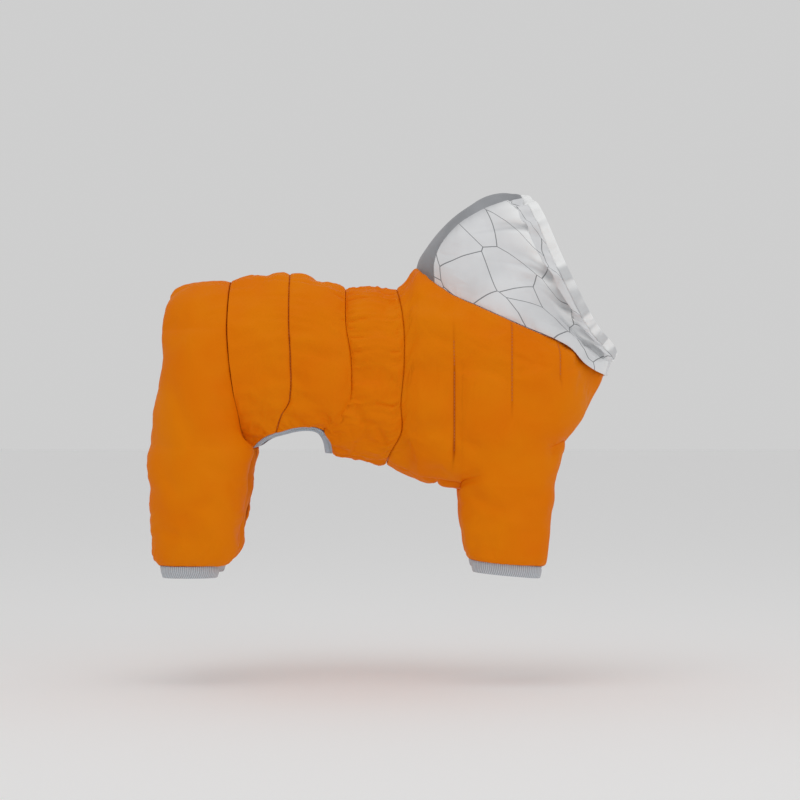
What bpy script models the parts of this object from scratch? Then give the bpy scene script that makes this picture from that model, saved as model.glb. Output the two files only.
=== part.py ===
"""Padded dog jumpsuit with a hood, worn, every cut piece as a wall of its own.

The frame is +X to the head end, +Y to the left flank, +Z up, with the origin on the
middle of the back at the waist. Tables are in millimetres; the meshes are in metres.
"""
import bmesh
import bpy
import numpy as np
from math import pi

MM = 0.001
SEAM_GAP = 0.4          # between two pieces sewn edge to edge
SHELL = 2.2             # wall at a seam, where the wadding is flattened
# rise of the wadding over the seams
PUFF = dict(loin=7.0, waist=5.0, chest=6.5, belly=4.5, sleeve=5.0, rump=7.0, inner_leg=4.0)
HOOD_SHELL = 1.3
ZIP_REAR, ZIP_FRONT = -196.0, 48.0
HEM_HIND, HEM_FORE = -313.0, -310.0
FORE_SLANT = 4.0        # how far the foreleg's hem is lower in front and higher behind
ARM_MIDDLE, ARM_REACH = 159.0, 57.0      # armhole along x
ARM_TURN, ARM_SPREAD = 0.856, 0.124      # armhole round the girth
FILL_HIGH, FILL_LOW, FILL_SOFT = -118.0, -240.0, 4.0    # heights between which the fold at the armhole is filled
LEG_POWER = 0.85        # roundness of a leg's ring
BINDING_WIDTH, BINDING_WALL = 10.0, 2.4
CASING_WIDTH, CASING_WALL = 11.0, 3.2
CUFF_WALL, CUFF_HEIGHT = 2.6, 13.5
TAPE_HALF = 4.6
BELLY_REAR, NAPE, THROAT = 30.0, 51.0, 262.0     # along x
LEG_SEAM_Y = 54.0       # the hind leg's front seam
SLIDER_AT, HINGE_UP, PULL_LENGTH = -186.0, 4.6, 14.0

# x along the body; z of the back or neck edge, of the widest line and of the belly;
# half width of the neck or zip slot and of the trunk; roundness of the lower half
TRUNK = dict(
    x=[-175, -130, -93, -60, -30, 0, 28, 38, 51, 57, 71, 93, 115, 137, 158, 178, 196, 210, 226, 240, 252, 262,
       267],
    top=[5, 13, 15, 7, -2, 1, -2, 9, 23.5, 17.5, 6, -9, -19, -29, -38.5, -47, -54, -59, -65, -73, -81, -88, -91],
    side=[-75, -78, -82, -87, -92, -95, -97, -98, -100, -101, -103, -106, -110, -112, -112, -111, -109, -107, -104,
          -101, -98, -96, -93],
    belly=[-188, -190, -189, -186, -188, -193, -203, -209, -214.5, -215.5, -217.5, -223, -225, -221, -210, -200, -189,
           -180, -164, -143, -123, -106, -96],
    slot=[6, 6, 6, 6, 6, 6, 6, 6, 6, 21, 38, 51, 60, 65, 67, 66, 62, 57, 47, 36, 25, 12, 1],
    half=[78, 76, 72, 69, 66, 66, 68, 70, 74, 75, 78, 83, 86, 87, 87, 86, 83, 77, 63, 48, 33, 17, 3],
    round=[0.8, 0.8, 0.8, 0.75, 0.7, 0.7, 0.7, 0.68, 0.65, 0.64, 0.6, 0.55, 0.5, 0.48, 0.48, 0.48, 0.5, 0.53,
           0.58, 0.64, 0.7, 0.75, 0.8],
)
# seams down the flank, as x at a height
SEAM_REAR = dict(z=[-185, -172, -161, -140, -112, -83, -62, 20],
                 x=[-133, -141, -145.5, -149.5, -155, -158.7, -161, -160])
SEAM_QUILT = dict(z=[-172, -155, -145, -134, -103, -52, 20], x=[-108, -101, -93, -91, -91, -93, -93.7])
SEAM_WAIST = dict(z=[-190, -175, -158, -150, -140, -130, -116, -83, -41, 5],
                  x=[-44, -46, -53, -46, -37, -30, -24, -22.5, -29, -30])
SEAM_CHEST = dict(z=[-205, -187, -166, -130, -87, -28, 5], x=[14, 21, 33, 33.5, 37, 35, 28])
QUILT_LINES = [93.0, 157.5, 210.0]
# lower edge of the loin piece, over the belly opening
ARCH = dict(x=[-150, -134, -128, -118, -107, -88, -71, -60, -50, -44],
            z=[-183, -180, -174, -167, -164, -158, -156.5, -158, -165, -175])
# hind leg, front and rear outline, how far it reaches out and in, and its rear seam or edge
HIND = dict(
    z=[-325, -313, -307, -294, -277, -254, -232, -207, -191, -178, -145, -122, -98, -75, -52, -32, -22, -15, -9,
       -2, 5, 7.8],
    front=[-170, -170, -162, -154, -152, -147, -143, -141, -137, -134] + [-134] * 12,
    rear=[-240, -240, -243, -245.5, -246.5, -247, -247.5, -248.5, -248, -247, -245, -239.5, -236, -234, -233.5,
          -231.5, -230, -229, -228, -226, -222, -220],
    out=[80, 80, 84, 88, 90, 91, 92, 92, 92, 92, 91, 89, 86, 82, 76, 68, 61, 55, 49, 37, 20, 6],
    into=[28, 28, 25, 23, 22, 21, 21, 22, 23, 24] + [24] * 12,
    seam=[54, 54, 54, 54, 54, 53, 50, 46, 41, 34, 26, 24, 24, 24, 24, 22, 18, 9, 1.5, 1, 1, 1],
)
FORE = dict(
    z=[-325, -310, -305, -295, -283, -271, -254, -241, -223, -199, -180, -150],
    front=[193.5, 193.5, 194, 194.5, 195.5, 197, 199, 202.5, 204.5, 209, 212, 214],
    rear=[111, 111, 111.5, 112, 111.5, 109.5, 107.5, 107, 107, 105, 103, 102],
    out=[80, 80, 84, 87, 89, 90, 90, 90, 89, 88, 87, 87],
    into=[28, 28, 25, 23, 22, 21, 20, 20, 20, 21, 22, 22],
)
# hood: outline of the crown from the nape forward, the seam beside it and half its width;
# the neck edge, with its y as it would be if it didn't curve in to the throat
CROWN = dict(x=[50.5, 52.5, 63, 78, 97, 114, 125, 139, 150, 163, 170],
             z=[24, 32, 49, 68, 86, 98, 105, 110, 111.5, 110.5, 109])
CROWN_SEAM = dict(x=[71, 71, 76, 90, 108, 122, 138, 150, 163, 172], z=[7, 30, 46, 66, 81, 89, 96, 99, 101, 102])
CROWN_HALF = [38, 33, 29, 26.5, 25, 24.5, 24, 24, 24, 24]
HOOD_LOWER = dict(x=[71, 93, 115, 137, 158, 178, 196, 210, 226, 240, 252, 264, 270],
                  z=[7, -7.6, -17.6, -27.6, -37.1, -45.6, -53, -59.5, -69, -84, -92, -97, -98],
                  y=[38, 50.5, 59.5, 64.5, 66.5, 66.5, 67.5, 67.5, 64, 56.2, 43.8, 25.5, 0.3],
                  full=[38, 50.5, 59.5, 64.5, 66.5, 67, 67.5, 67.5, 65, 63.5, 62, 61, 60.5])
# face edge from the throat up to the crown seam, with the way back along the cloth, in degrees
FACE = dict(x=[281, 274, 259, 245.5, 233.5, 223.6, 213.5, 203.5, 196.5, 190, 183.5],
            y=[0.3, 24, 43, 54, 59, 60, 59, 55, 50, 42, 24],
            z=[-73, -61, -45.5, -25, -2, 18, 40, 64, 81, 94, 102],
            back=[240, 232, 225, 212, 206, 204, 202, 200, 196, 186, 172])


def through(table, wanted, at, key="x"):
    """Smooth curve through a table's rows: cubic pieces with the slope of the neighbours."""
    knots = np.array(table[key], float)
    values = np.array(table[wanted], float)
    order = np.argsort(knots, kind="stable")
    knots, values = knots[order], values[order]
    slopes = np.gradient(values, knots)
    at = np.clip(np.asarray(at, float), knots[0], knots[-1])
    i = np.clip(np.searchsorted(knots, at, side="right") - 1, 0, len(knots) - 2)
    step = knots[i + 1] - knots[i]
    s = (at - knots[i]) / step
    return (values[i] * (1 + 2 * s) * (1 - s) ** 2 + values[i + 1] * s * s * (3 - 2 * s)
            + step * (slopes[i] * s * (1 - s) ** 2 - slopes[i + 1] * s * s * (1 - s)))


def along(rows, at):
    """Smooth curve through points given in order, at from 0 to 1 by arc length."""
    points = np.array(rows, float)
    run = np.concatenate([[0], np.cumsum(np.linalg.norm(np.diff(points, axis=0), axis=1))])
    table = dict(s=run / run[-1])
    for k in range(points.shape[1]):
        table[k] = points[:, k]
    return np.stack([through(table, k, at, key="s") for k in range(points.shape[1])], axis=-1)


def ease(value, low, high):
    s = np.clip((np.asarray(value, float) - low) / (high - low), 0, 1)
    return s * s * (3 - 2 * s)


def trunk(x, turn):
    """Point on the trunk: turn 0 is the edge at the back, 0.5 the flank, 1 the middle of the belly."""
    x, turn = np.broadcast_arrays(np.asarray(x, float), np.asarray(turn, float))
    top, side, belly, slot, half, power = (
        through(TRUNK, k, x) for k in ("top", "side", "belly", "slot", "half", "round"))
    angle = pi * np.clip(turn, 0, 1)
    sine, cosine = np.abs(np.sin(angle)), np.cos(angle)
    upper = turn < 0.5
    y = np.where(upper, slot + (half - slot) * sine ** 0.9, half * sine ** power)
    z = np.where(upper, side + (top - side) * np.abs(cosine) ** 0.9,
                 side - (side - belly) * np.abs(cosine) ** power)
    return np.stack([x, y, z], axis=-1)


def trunk_normal(x, turn):
    step = 0.002
    turn = np.clip(turn, step, 1 - step)
    across = trunk(x, turn + step) - trunk(x, turn - step)
    ahead = trunk(x + 0.5, turn) - trunk(x - 0.5, turn)
    return unit(np.cross(ahead, across))


def unit(vectors):
    return vectors / np.maximum(np.linalg.norm(vectors, axis=-1, keepdims=True), 1e-9)


def seam_x(seam, turn):
    """x of a flank seam at a turn, found by stepping between its table and the trunk."""
    x = np.full(np.shape(turn), float(np.mean(seam["x"])))
    for _ in range(12):
        x = through(seam, "x", trunk(x, turn)[..., 2], key="z")
    return x


def turn_at(x, z):
    """Turn at which the trunk is at height z, on the lower half."""
    side, belly, power = (through(TRUNK, k, x) for k in ("side", "belly", "round"))
    part = np.clip((side - z) / (side - belly), 0, 1) ** (1 / power)
    return 1 - np.arccos(part) / pi


def pillow(value, lines, reach):
    """0 on each quilting line and edge, rising to 1 within the reach."""
    gap = np.min(np.abs(np.asarray(value, float)[..., None] - np.array(lines, float)), axis=-1)
    return np.sqrt(1 - (1 - np.clip(gap / reach, 0, 1)) ** 2)


def make_material(name, colour, roughness, metallic=0.0):
    material = bpy.data.materials.new(name)
    material.use_nodes = True
    shader = material.node_tree.nodes["Principled BSDF"]
    shader.inputs["Base Color"].default_value = (*colour, 1)
    shader.inputs["Roughness"].default_value = roughness
    shader.inputs["Metallic"].default_value = metallic
    material.diffuse_color = (*colour, 1)
    return material


def add_object(name, points, faces, material):
    mesh = bpy.data.meshes.new(name)
    mesh.from_pydata([tuple(p) for p in np.asarray(points) * MM], [], faces)
    mesh.materials.append(material)
    work = bmesh.new()
    work.from_mesh(mesh)
    bmesh.ops.recalc_face_normals(work, faces=work.faces)
    work.to_mesh(mesh)
    work.free()
    mesh.shade_smooth()
    piece = bpy.data.objects.new(name, mesh)
    bpy.context.scene.collection.objects.link(piece)
    return piece


def wall(name, outer, inner, material, ring=False, mirror=False):
    """Closed wall between two grids of one size, rows first; a ring joins its last column to its first."""
    if mirror:
        outer, inner = outer * [1, -1, 1], inner * [1, -1, 1]
    rows, columns = outer.shape[:2]
    half = rows * columns
    last = columns if ring else columns - 1
    faces = []
    for i in range(rows - 1):
        for j in range(last):
            a, b = i * columns + j, i * columns + (j + 1) % columns
            c, d = b + columns, a + columns
            faces += [(a, b, c, d), (a + half, d + half, c + half, b + half)]
    for j in range(last):
        a, b = j, (j + 1) % columns
        c, d = a + (rows - 1) * columns, b + (rows - 1) * columns
        faces += [(b, a, a + half, b + half), (c, d, d + half, c + half)]
    if not ring:
        for i in range(rows - 1):
            a, b = i * columns, (i + 1) * columns
            c, d = a + columns - 1, b + columns - 1
            faces += [(a, b, b + half, a + half), (d, c, c + half, d + half)]
    points = np.concatenate([outer.reshape(-1, 3), inner.reshape(-1, 3)])
    return add_object(name, points, faces, material)


def pair(name, outer, inner, material, ring=False):
    wall(name + "_left", outer, inner, material, ring)
    wall(name + "_right", outer, inner, material, ring, mirror=True)


def loop_band(name, edge, way, normal, width, thick, material):
    """Closed band along a loop: from the edge by the way's width, with rounded long edges."""
    section = [(0, 0.35), (0.5, 0.5), (1, 0.35), (1, -0.35), (0.5, -0.5), (0, -0.35)]
    rings = [edge + way * width * a + normal * thick * b for a, b in section]
    count, sides = len(edge), len(section)
    points = np.stack(rings, axis=1).reshape(-1, 3)
    faces = []
    for i in range(count):
        k = (i + 1) % count
        for j in range(sides):
            m = (j + 1) % sides
            faces.append((i * sides + j, i * sides + m, k * sides + m, k * sides + j))
    return add_object(name, points, faces, material)


def armhole_stations(count=16):
    """x of the armhole's points, from rear to front."""
    return ARM_MIDDLE - ARM_REACH * np.cos(np.arange(count // 2 + 1) * 2 * pi / count)


def low_turn(x, side):
    """Turn of the seam between flank and belly piece; past the leg it splits round the armhole."""
    phase = np.sqrt(np.clip(1 - ((x - ARM_MIDDLE) / ARM_REACH) ** 2, 0, 1))
    rear, front = ARM_MIDDLE - ARM_REACH, ARM_MIDDLE + ARM_REACH
    seam = ARM_TURN + 0.04 * (1 - ease(x, 60, rear)) + 0.03 * ease(x, front, THROAT)
    return seam + side * ARM_SPREAD * phase


def trunk_piece(x, turn, puff):
    """Outer and inner grid of a piece that lies on the trunk."""
    base, normal = trunk(x, turn), trunk_normal(x, turn)
    return base + normal * puff[..., None], base - normal * SHELL


def grid(columns, rows):
    return np.meshgrid(np.array(columns, float), np.array(rows, float))


LOIN_ROWS = np.array([0, 0.06, 0.18, 0.33, 0.5, 0.66, 0.8, 0.91, 1])


def seam_end(seam):
    """Turn at which a flank seam meets the arch."""
    turn = 0.75
    for _ in range(30):
        x = float(seam_x(seam, turn))
        turn = float(turn_at(x, through(ARCH, "z", x)))
    return turn


def waist_rows():
    """Turns along the waist: the loin's rows, the belly opening's end, then the belly piece's columns."""
    upper = LOIN_ROWS * seam_end(SEAM_WAIST)
    low = float(low_turn(BELLY_REAR, 0))
    return np.concatenate([upper, [(upper[-1] + low) / 2], low + (1 - low) * np.array([0, 0.35, 1])])


def loin(material):
    """Two quilted rolls between the rump seam and the waist seam, down to the arch."""
    share = 0.53        # of the piece's width, where the quilting line runs
    u, v = grid([0, 0.07, 0.25, 0.42, share, 0.6, 0.76, 0.93, 1], LOIN_ROWS)
    rear_turn = LOIN_ROWS[:, None] * seam_end(SEAM_REAR)
    front_turn = LOIN_ROWS[:, None] * seam_end(SEAM_WAIST)
    left, right = seam_x(SEAM_REAR, rear_turn) + SEAM_GAP / 2, seam_x(SEAM_WAIST, front_turn) - SEAM_GAP / 2
    right = right - 6 * SEAM_GAP * ease(v[:, :1], 0.55, 0.8)
    middle = seam_x(SEAM_QUILT, (rear_turn + front_turn) / 2)
    x = np.where(u < share, left + (middle - left) * u / share,
                 middle + (right - middle) * (u - share) / (1 - share))
    turn = v * turn_at(x, through(ARCH, "z", x))
    turn[:, 0], turn[:, -1] = rear_turn[:, 0], front_turn[:, 0]
    puff = PUFF["loin"] * pillow(u, [0, share, 1], 0.22) * pillow(v, [1], 0.08) * (0.25 + 0.75 * pillow(v, [0], 0.12))
    puff = puff * (1 - ease(v, 0.7, 1) * (1 - ease(u, 0, 0.35)))
    pair("loin", *trunk_piece(x, turn, puff), material)


def waist(material):
    """Elasticated piece between the waist seam and the chest seam, all round one side."""
    u, v = grid([0, 0.12, 0.36, 0.64, 0.88, 1], waist_rows())
    rear, front = seam_x(SEAM_WAIST, v), seam_x(SEAM_CHEST, v)
    x = rear + SEAM_GAP / 2 + (front - rear - SEAM_GAP) * u
    puff = PUFF["waist"] * pillow(u, [0, 1], 0.3) * (0.3 + 0.7 * pillow(v, [0], 0.1))
    outer, inner = trunk_piece(x, v, puff)
    outer[-1, :, 1] = inner[-1, :, 1] = SEAM_GAP / 2
    pair("waist", outer, inner, material)


def arm_fill(points, share=1.0, inset=0.0):
    """Points beside the armhole moved out to a line from the chest's widest height down to the sleeve's."""
    x, y, z = np.moveaxis(points, -1, 0)
    front, rear, out, into = (float(through(FORE, k, FILL_LOW, key="z")) for k in ("front", "rear", "out", "into"))
    ahead = (x - (front + rear) / 2) / (front - rear) * 2
    leg = (out + into) / 2 + (out - into) / 2 * np.clip(1 - ahead ** 2, 0, 1) ** (LEG_POWER / 2) + PUFF["sleeve"]
    chest_side = through(TRUNK, "half", x) + PUFF["chest"]
    down = np.clip((FILL_HIGH - z) / (FILL_HIGH - FILL_LOW), 0, 1)
    short = chest_side * (1 - down) + leg * down - FILL_SOFT / 2 - y - inset
    move = (short + np.sqrt(short ** 2 + FILL_SOFT ** 2)) / 2       # 0 where nothing is short, with a soft start
    near = ease(x, 104, 128) * (1 - ease(x, 190, 212)) * ease(down, 0, 0.15) * (1 - ease(down, 0.85, 1))
    return points + np.stack([0 * x, move * near * share, 0 * x], axis=-1)


def chest_stations():
    return np.concatenate([[57, 71, 88], armhole_stations(), [230, 243, 254, THROAT, THROAT + 3.5]])


def chest(material):
    """Flank piece from the chest seam to the throat, under the neck edge and over the sleeve."""
    rows = waist_rows()
    rows = rows[:-2] / rows[-3]
    v = rows[:, None]
    seam = seam_x(SEAM_CHEST, waist_rows()[:-2])[:, None] + SEAM_GAP / 2
    near = seam + (NAPE - seam) * np.array([[0.0, 0.4, 1.0]])
    x = np.concatenate([near, np.repeat([chest_stations()], len(rows), axis=0)], axis=1)
    turn = v * low_turn(x, -1) * (1 - 0.003 * v ** 8)
    turn[:, 0] = waist_rows()[:-2]
    puff = PUFF["chest"] * pillow(x, [THROAT] + QUILT_LINES, 20) * pillow(x - seam, [0], 12)
    puff = puff * pillow(v, [0], 0.25) * pillow(v, [1], 0.12)
    puff = puff * (1 - 0.6 * ease(x, 225, 255)) * (1 - ease(x, 150, 180) * (1 - ease(v, 0.15, 0.4)))
    outer, inner = trunk_piece(x, turn, puff)
    pair("chest", arm_fill(outer), inner, material)


def belly(material):
    """Piece under the chest, from the waist between the forelegs up to the throat."""
    shares = np.array([-1, -0.65, 0, 0.65, 1])
    stations = np.concatenate([[BELLY_REAR, 40, NAPE], chest_stations()])
    x = stations[:, None] * np.ones((1, len(shares)))
    edge_turn = low_turn(x, 1)
    edge = trunk(x, edge_turn)[..., 1] - SEAM_GAP
    half, side, low, power = (through(TRUNK, k, x) for k in ("half", "side", "belly", "round"))
    y = shares * edge
    flat = np.clip(1 - (np.abs(y) / half) ** (2 / power), 0, 1) ** (power / 2)
    base = np.stack([x, y, side - (side - low) * flat], axis=-1)
    rear_turn = 1 - (1 - waist_rows()[-3]) * np.abs(shares)
    base[0] = trunk(seam_x(SEAM_CHEST, rear_turn) + SEAM_GAP / 2, rear_turn)
    base[0, :, 1] *= np.sign(shares)
    normal = unit(np.cross(np.gradient(base, axis=1), np.gradient(base, axis=0)))
    edge_normal = trunk_normal(x[:, -1], edge_turn[:, -1])
    normal[:, -1] = edge_normal
    normal[:, 0] = edge_normal * [1, -1, 1]
    puff = PUFF["belly"] * pillow(shares, [-1, 1], 0.3)[None, :] * pillow(x, [BELLY_REAR, 75, THROAT], 18)
    puff = puff * (1 - 0.7 * ease(x, 190, 230))
    wall("belly", base + normal * puff[..., None], base - normal * SHELL, material)


def armhole(phase):
    """Loop on the trunk that the sleeve hangs from: phase 0 is its front, a quarter its outer side."""
    x = ARM_MIDDLE + ARM_REACH * np.cos(phase)
    turn = ARM_TURN - ARM_SPREAD * np.sin(phase)
    return x, turn


def leg_ring(table, z, phase):
    front, rear, out, into = (through(table, k, z, key="z") for k in ("front", "rear", "out", "into"))
    swing = np.sign(np.sin(phase)) * np.abs(np.sin(phase)) ** LEG_POWER
    x = (front + rear) / 2 + (front - rear) / 2 * np.cos(phase)
    y = (out + into) / 2 + (out - into) / 2 * swing
    return np.stack([x, y, z + 0 * x], axis=-1)


def sleeve(material):
    """Foreleg sleeve from the armhole to the gathered hem."""
    count = 16
    phase = np.arange(count) * 2 * pi / count
    drop = np.array([0, 0.12, 0.27, 0.44, 0.62, 0.8, 0.9, 0.965, 1.0])[:, None]
    x, turn = armhole(phase)
    start, start_normal = trunk(x, turn), trunk_normal(x, turn)
    start = start + unit(start.mean(axis=0) - start) * 1.5 * SEAM_GAP

    def surface(around, down):
        z = start[:, 2] * (1 - down) + (HEM_FORE - FORE_SLANT * np.cos(around)) * down
        ring = leg_ring(FORE, z, around)
        first = leg_ring(FORE, start[:, 2], around)
        return ring + (start - first) * (1 - ease(down, 0, 0.4))[..., None]

    base = surface(phase[None, :], drop)
    spin = np.roll(base, -1, axis=1) - np.roll(base, 1, axis=1)
    normal = unit(np.cross(np.gradient(base, axis=0), spin))
    share = ease(drop, 0, 0.15)[..., None]
    normal = unit(start_normal[None] * (1 - share) + normal * share)
    puff = PUFF["sleeve"] * pillow(drop, [0], 0.2) * pillow(drop, [1], 0.07) + 0 * base[..., 0]
    outer = arm_fill(base + normal * puff[..., None], ease(np.sin(phase), 0, 0.35)[None], inset=0.5)
    pair("sleeve", outer, base - normal * SHELL, material, ring=True)


def hind_front(z):
    """Front edge of the hind piece: on the rump seam above the opening, on the leg below it."""
    turn = turn_of_height(z)
    x = seam_x(SEAM_REAR, turn)
    on_trunk = trunk(x - SEAM_GAP - 1.2 * ease(-z, 150, 170), turn)
    leg = np.stack([through(HIND, "front", z, key="z"), LEG_SEAM_Y + 0 * z, z], axis=-1)
    share = ease(-z, 180, 200)[..., None]
    point = on_trunk * (1 - share) + leg * share
    point[..., 2] = np.where(z < seam_foot(), z, on_trunk[..., 2])
    return point


def seam_foot():
    """Height at which the rump seam meets the arch."""
    turn = seam_end(SEAM_REAR)
    return float(trunk(seam_x(SEAM_REAR, turn), turn)[2])


def turn_of_height(z):
    """Turn on the rump seam at a height, by halving."""
    low, high = np.zeros(np.shape(z)), np.full(np.shape(z), 0.93)
    for _ in range(30):
        middle = (low + high) / 2
        above = trunk(seam_x(SEAM_REAR, middle), middle)[..., 2] > z
        low, high = np.where(above, middle, low), np.where(above, high, middle)
    return (low + high) / 2


def hind_rear(z):
    drop = 10 * ease(z, -70, 9)
    low = z - drop
    return np.stack([through(HIND, "rear", low, key="z"), through(HIND, "seam", low, key="z"), low], axis=-1)


def hind_surface(u, z, inner):
    """Slice of the hind leg at a height: from the front edge round the outside or inside to the rear edge."""
    front = hind_front(z)
    rear = hind_rear(z)
    reach = through(HIND, "into" if inner else "out", z, key="z")
    reach = np.minimum(reach, rear[..., 1]) if inner else np.maximum(reach, front[..., 1])
    rise = np.clip((front[..., 1] - rear[..., 1]) / np.maximum(reach - rear[..., 1], 1e-6), 0, 1)
    start = np.zeros_like(z) if inner else np.arcsin(rise)
    angle = start + (pi - start) * u
    stretch = (front[..., 0] - rear[..., 0]) / (1 + np.cos(start))
    x = rear[..., 0] + stretch * (1 + np.cos(angle))
    part = (x - rear[..., 0]) / (front[..., 0] - rear[..., 0])
    if inner:
        level = rear[..., 1] + (front[..., 1] - rear[..., 1]) * part
        y = level + (np.minimum(reach, level) - level) * np.sin(angle) ** 0.85
    else:
        y = rear[..., 1] + (reach - rear[..., 1]) * np.sin(angle) ** 0.9
    z = front[..., 2] * part + rear[..., 2] * (1 - part)
    return np.stack([x, y, z], axis=-1)


LEG_ROWS = [-192, -208, -228, -250, -271, -289, -302, -308.5, HEM_HIND]


def hind_rows():
    """Heights of the loin's rows on the rump seam, then those down the leg."""
    turns = LOIN_ROWS * seam_end(SEAM_REAR)
    return np.concatenate([trunk(seam_x(SEAM_REAR, turns), turns)[:, 2], LEG_ROWS])


def level_edges(normal, z):
    """Turn the normals of a leg's two long seams fore and aft, so that both walls meet there."""
    below = z[:, 0] < seam_foot() - 1
    normal[below, 0, 1] = 0
    normal[z[:, 0] < seam_foot() + 1, -1, 1] = 0
    return unit(normal)


def rump(material):
    """Rump and outer hind leg in one piece."""
    u, z = grid([0, 0.06, 0.2, 0.37, 0.55, 0.73, 0.9, 1], hind_rows())
    base = hind_surface(u, z, inner=False)
    normal = unit(np.cross(np.gradient(base, axis=0), np.gradient(base, axis=1)))
    turns = LOIN_ROWS * seam_end(SEAM_REAR)
    count = len(turns)
    share = (1 - ease(u[:count], 0, 0.1))[..., None]
    edge = trunk_normal(seam_x(SEAM_REAR, turns), turns)[:, None]
    normal[:count] = edge * share + normal[:count] * (1 - share)
    normal = level_edges(normal, z)
    base[..., 1] += SEAM_GAP / 2 * (z < seam_foot() + 1)
    puff = PUFF["rump"] * pillow(u, [0, 1], 0.2) * pillow(z, [HEM_HIND], 14) * pillow(z, [z[0, 0]], 14)
    outer, inner = base + normal * puff[..., None], base - normal * SHELL
    outer[..., 1], inner[..., 1] = np.maximum(outer[..., 1], 0.2), np.maximum(inner[..., 1], 0.2)
    pair("rump", outer, inner, material)


def inner_leg(material):
    u, z = grid([0, 0.12, 0.38, 0.62, 0.88, 1], [seam_foot()] + LEG_ROWS)
    base = hind_surface(u, z, inner=True)
    normal = unit(np.cross(np.gradient(base, axis=1), np.gradient(base, axis=0)))
    normal = level_edges(normal, z)
    corner = seam_end(SEAM_REAR)
    normal[0, 0] = trunk_normal(seam_x(SEAM_REAR, corner), corner)
    base[..., 1] -= 1.5 * SEAM_GAP
    puff = PUFF["inner_leg"] * pillow(u, [0, 1], 0.3) * pillow(z, [z[0, 0], HEM_HIND], 14)
    pair("inner_leg", base + normal * puff[..., None], base - normal * SHELL, material)


def cuff(name, table, hem, slant, sizes, material):
    """Ribbed cuff under a gathered hem: its size at the top, middle and foot is a share of the hem's."""
    count = 20
    phase = np.arange(count) * 2 * pi / count
    top = leg_ring(table, hem - slant * np.cos(phase), phase)
    middle = top.mean(axis=0)
    outer = np.stack([middle + (top - middle) * size - [0, 0, SEAM_GAP + CUFF_HEIGHT * down]
                      for down, size in zip((0, 0.5, 1), sizes)])
    inward = unit((middle - top) * [1, 1, 0])
    pair(name, outer, outer + inward[None] * CUFF_WALL, material, ring=True)


def resample(points, count):
    """Points spread evenly along a run, at the middles of equal lengths, with rounded corners."""
    run = np.concatenate([[0], np.cumsum(np.linalg.norm(np.diff(points, axis=0), axis=1))])
    at = (np.arange(count) + 0.5) / count * run[-1]
    return np.stack([np.interp(at, run, points[:, k]) for k in range(3)], axis=-1)


def closed_loop(half, passes):
    """Both sides of a loop from one half, smoothed."""
    loop = np.concatenate([half, half[::-1] * [1, -1, 1]])
    for _ in range(passes):
        loop = loop * 0.5 + (np.roll(loop, 1, axis=0) + np.roll(loop, -1, axis=0)) * 0.25
    return loop


def opening_loop():
    """Edge of the tail and belly opening, from over the tail down to the front of the belly opening."""
    rows = hind_rows()
    rear = hind_rear(rows[rows >= seam_foot() - 0.01])
    across = np.linspace(1, 0, 8)
    thigh = hind_surface(across, np.full(8, seam_foot()), inner=True) + [0, 0, 1.6]
    turn = seam_end(SEAM_REAR), seam_end(SEAM_WAIST)
    x = np.linspace(float(seam_x(SEAM_REAR, turn[0])), float(seam_x(SEAM_WAIST, turn[1])), 12)
    arch = trunk(x, turn_at(x, through(ARCH, "z", x)))
    last = np.linspace(turn[1], 1, 8)
    end = trunk(seam_x(SEAM_WAIST, last), last)
    return closed_loop(resample(np.concatenate([rear, thigh[1:-1], arch, end[1:]]), 30), 1)


def binding(material):
    """Knitted binding that edges the opening and stands into it."""
    edge = opening_loop()
    x, y, z = edge.T
    rear = x < -219
    target_x = np.where(rear, x, np.minimum(x, -75))
    level = np.interp(x, [-200, -150, -134, -118, -75], [-172, -178, -187, -190, -188])
    target_z = np.where(rear, np.minimum(z, -30), level)
    way = np.stack([target_x - x, -y, target_z - z], axis=-1)
    tangent = unit(np.roll(edge, -1, axis=0) - np.roll(edge, 1, axis=0))
    way = unit(way - tangent * np.sum(way * tangent, axis=-1, keepdims=True))
    for _ in range(3):
        way = unit(way * 0.5 + (np.roll(way, 1, axis=0) + np.roll(way, -1, axis=0)) * 0.25)
    normal = unit(np.cross(tangent, way))
    loop_band("binding", edge + way * 3.5 * SEAM_GAP, way, normal, BINDING_WIDTH, BINDING_WALL, material)


def face_loop():
    """Front edge of the hood all round, from the throat, with its way back along the cloth and its normal."""
    rows = np.stack([FACE["x"], FACE["y"], FACE["z"], np.radians(FACE["back"])], axis=-1)
    over_crown = [[182.2, 14, 104.8, 3.0], [181.5, 4, 106.2, 3.0]]
    half = np.concatenate([along(rows, np.linspace(0, 1, FACE_STEPS)), over_crown])
    half[0, 1] = 2.0
    loop = np.concatenate([half, half[::-1] * [1, -1, 1, 1]])
    edge, back = loop[:, :3], loop[:, 3]
    way = np.stack([np.cos(back), 0 * back, np.sin(back)], axis=-1)
    tangent = unit(np.roll(edge, -1, axis=0) - np.roll(edge, 1, axis=0))
    way = unit(way - tangent * np.sum(way * tangent, axis=-1, keepdims=True))
    return edge, way, unit(np.cross(tangent, way))


def casing(material):
    """Folded elastic casing round the face opening."""
    loop_band("hood_casing", *face_loop(), CASING_WIDTH, CASING_WALL, material)


HOOD_ROWS = np.array([0, 0.12, 0.27, 0.43, 0.6, 0.76, 0.9, 1])
FACE_STEPS = 19
CORNER = 0.36       # where the hood side's back edge ends on the crown seam, as a share of its length


def crown_seam(at):
    return along(np.stack([CROWN_SEAM["x"], CROWN_HALF, CROWN_SEAM["z"]], axis=-1), at)


def hood_columns():
    x = np.array(HOOD_LOWER["x"], float)
    return (x - x[0]) / (x[-1] - x[0])


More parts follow.
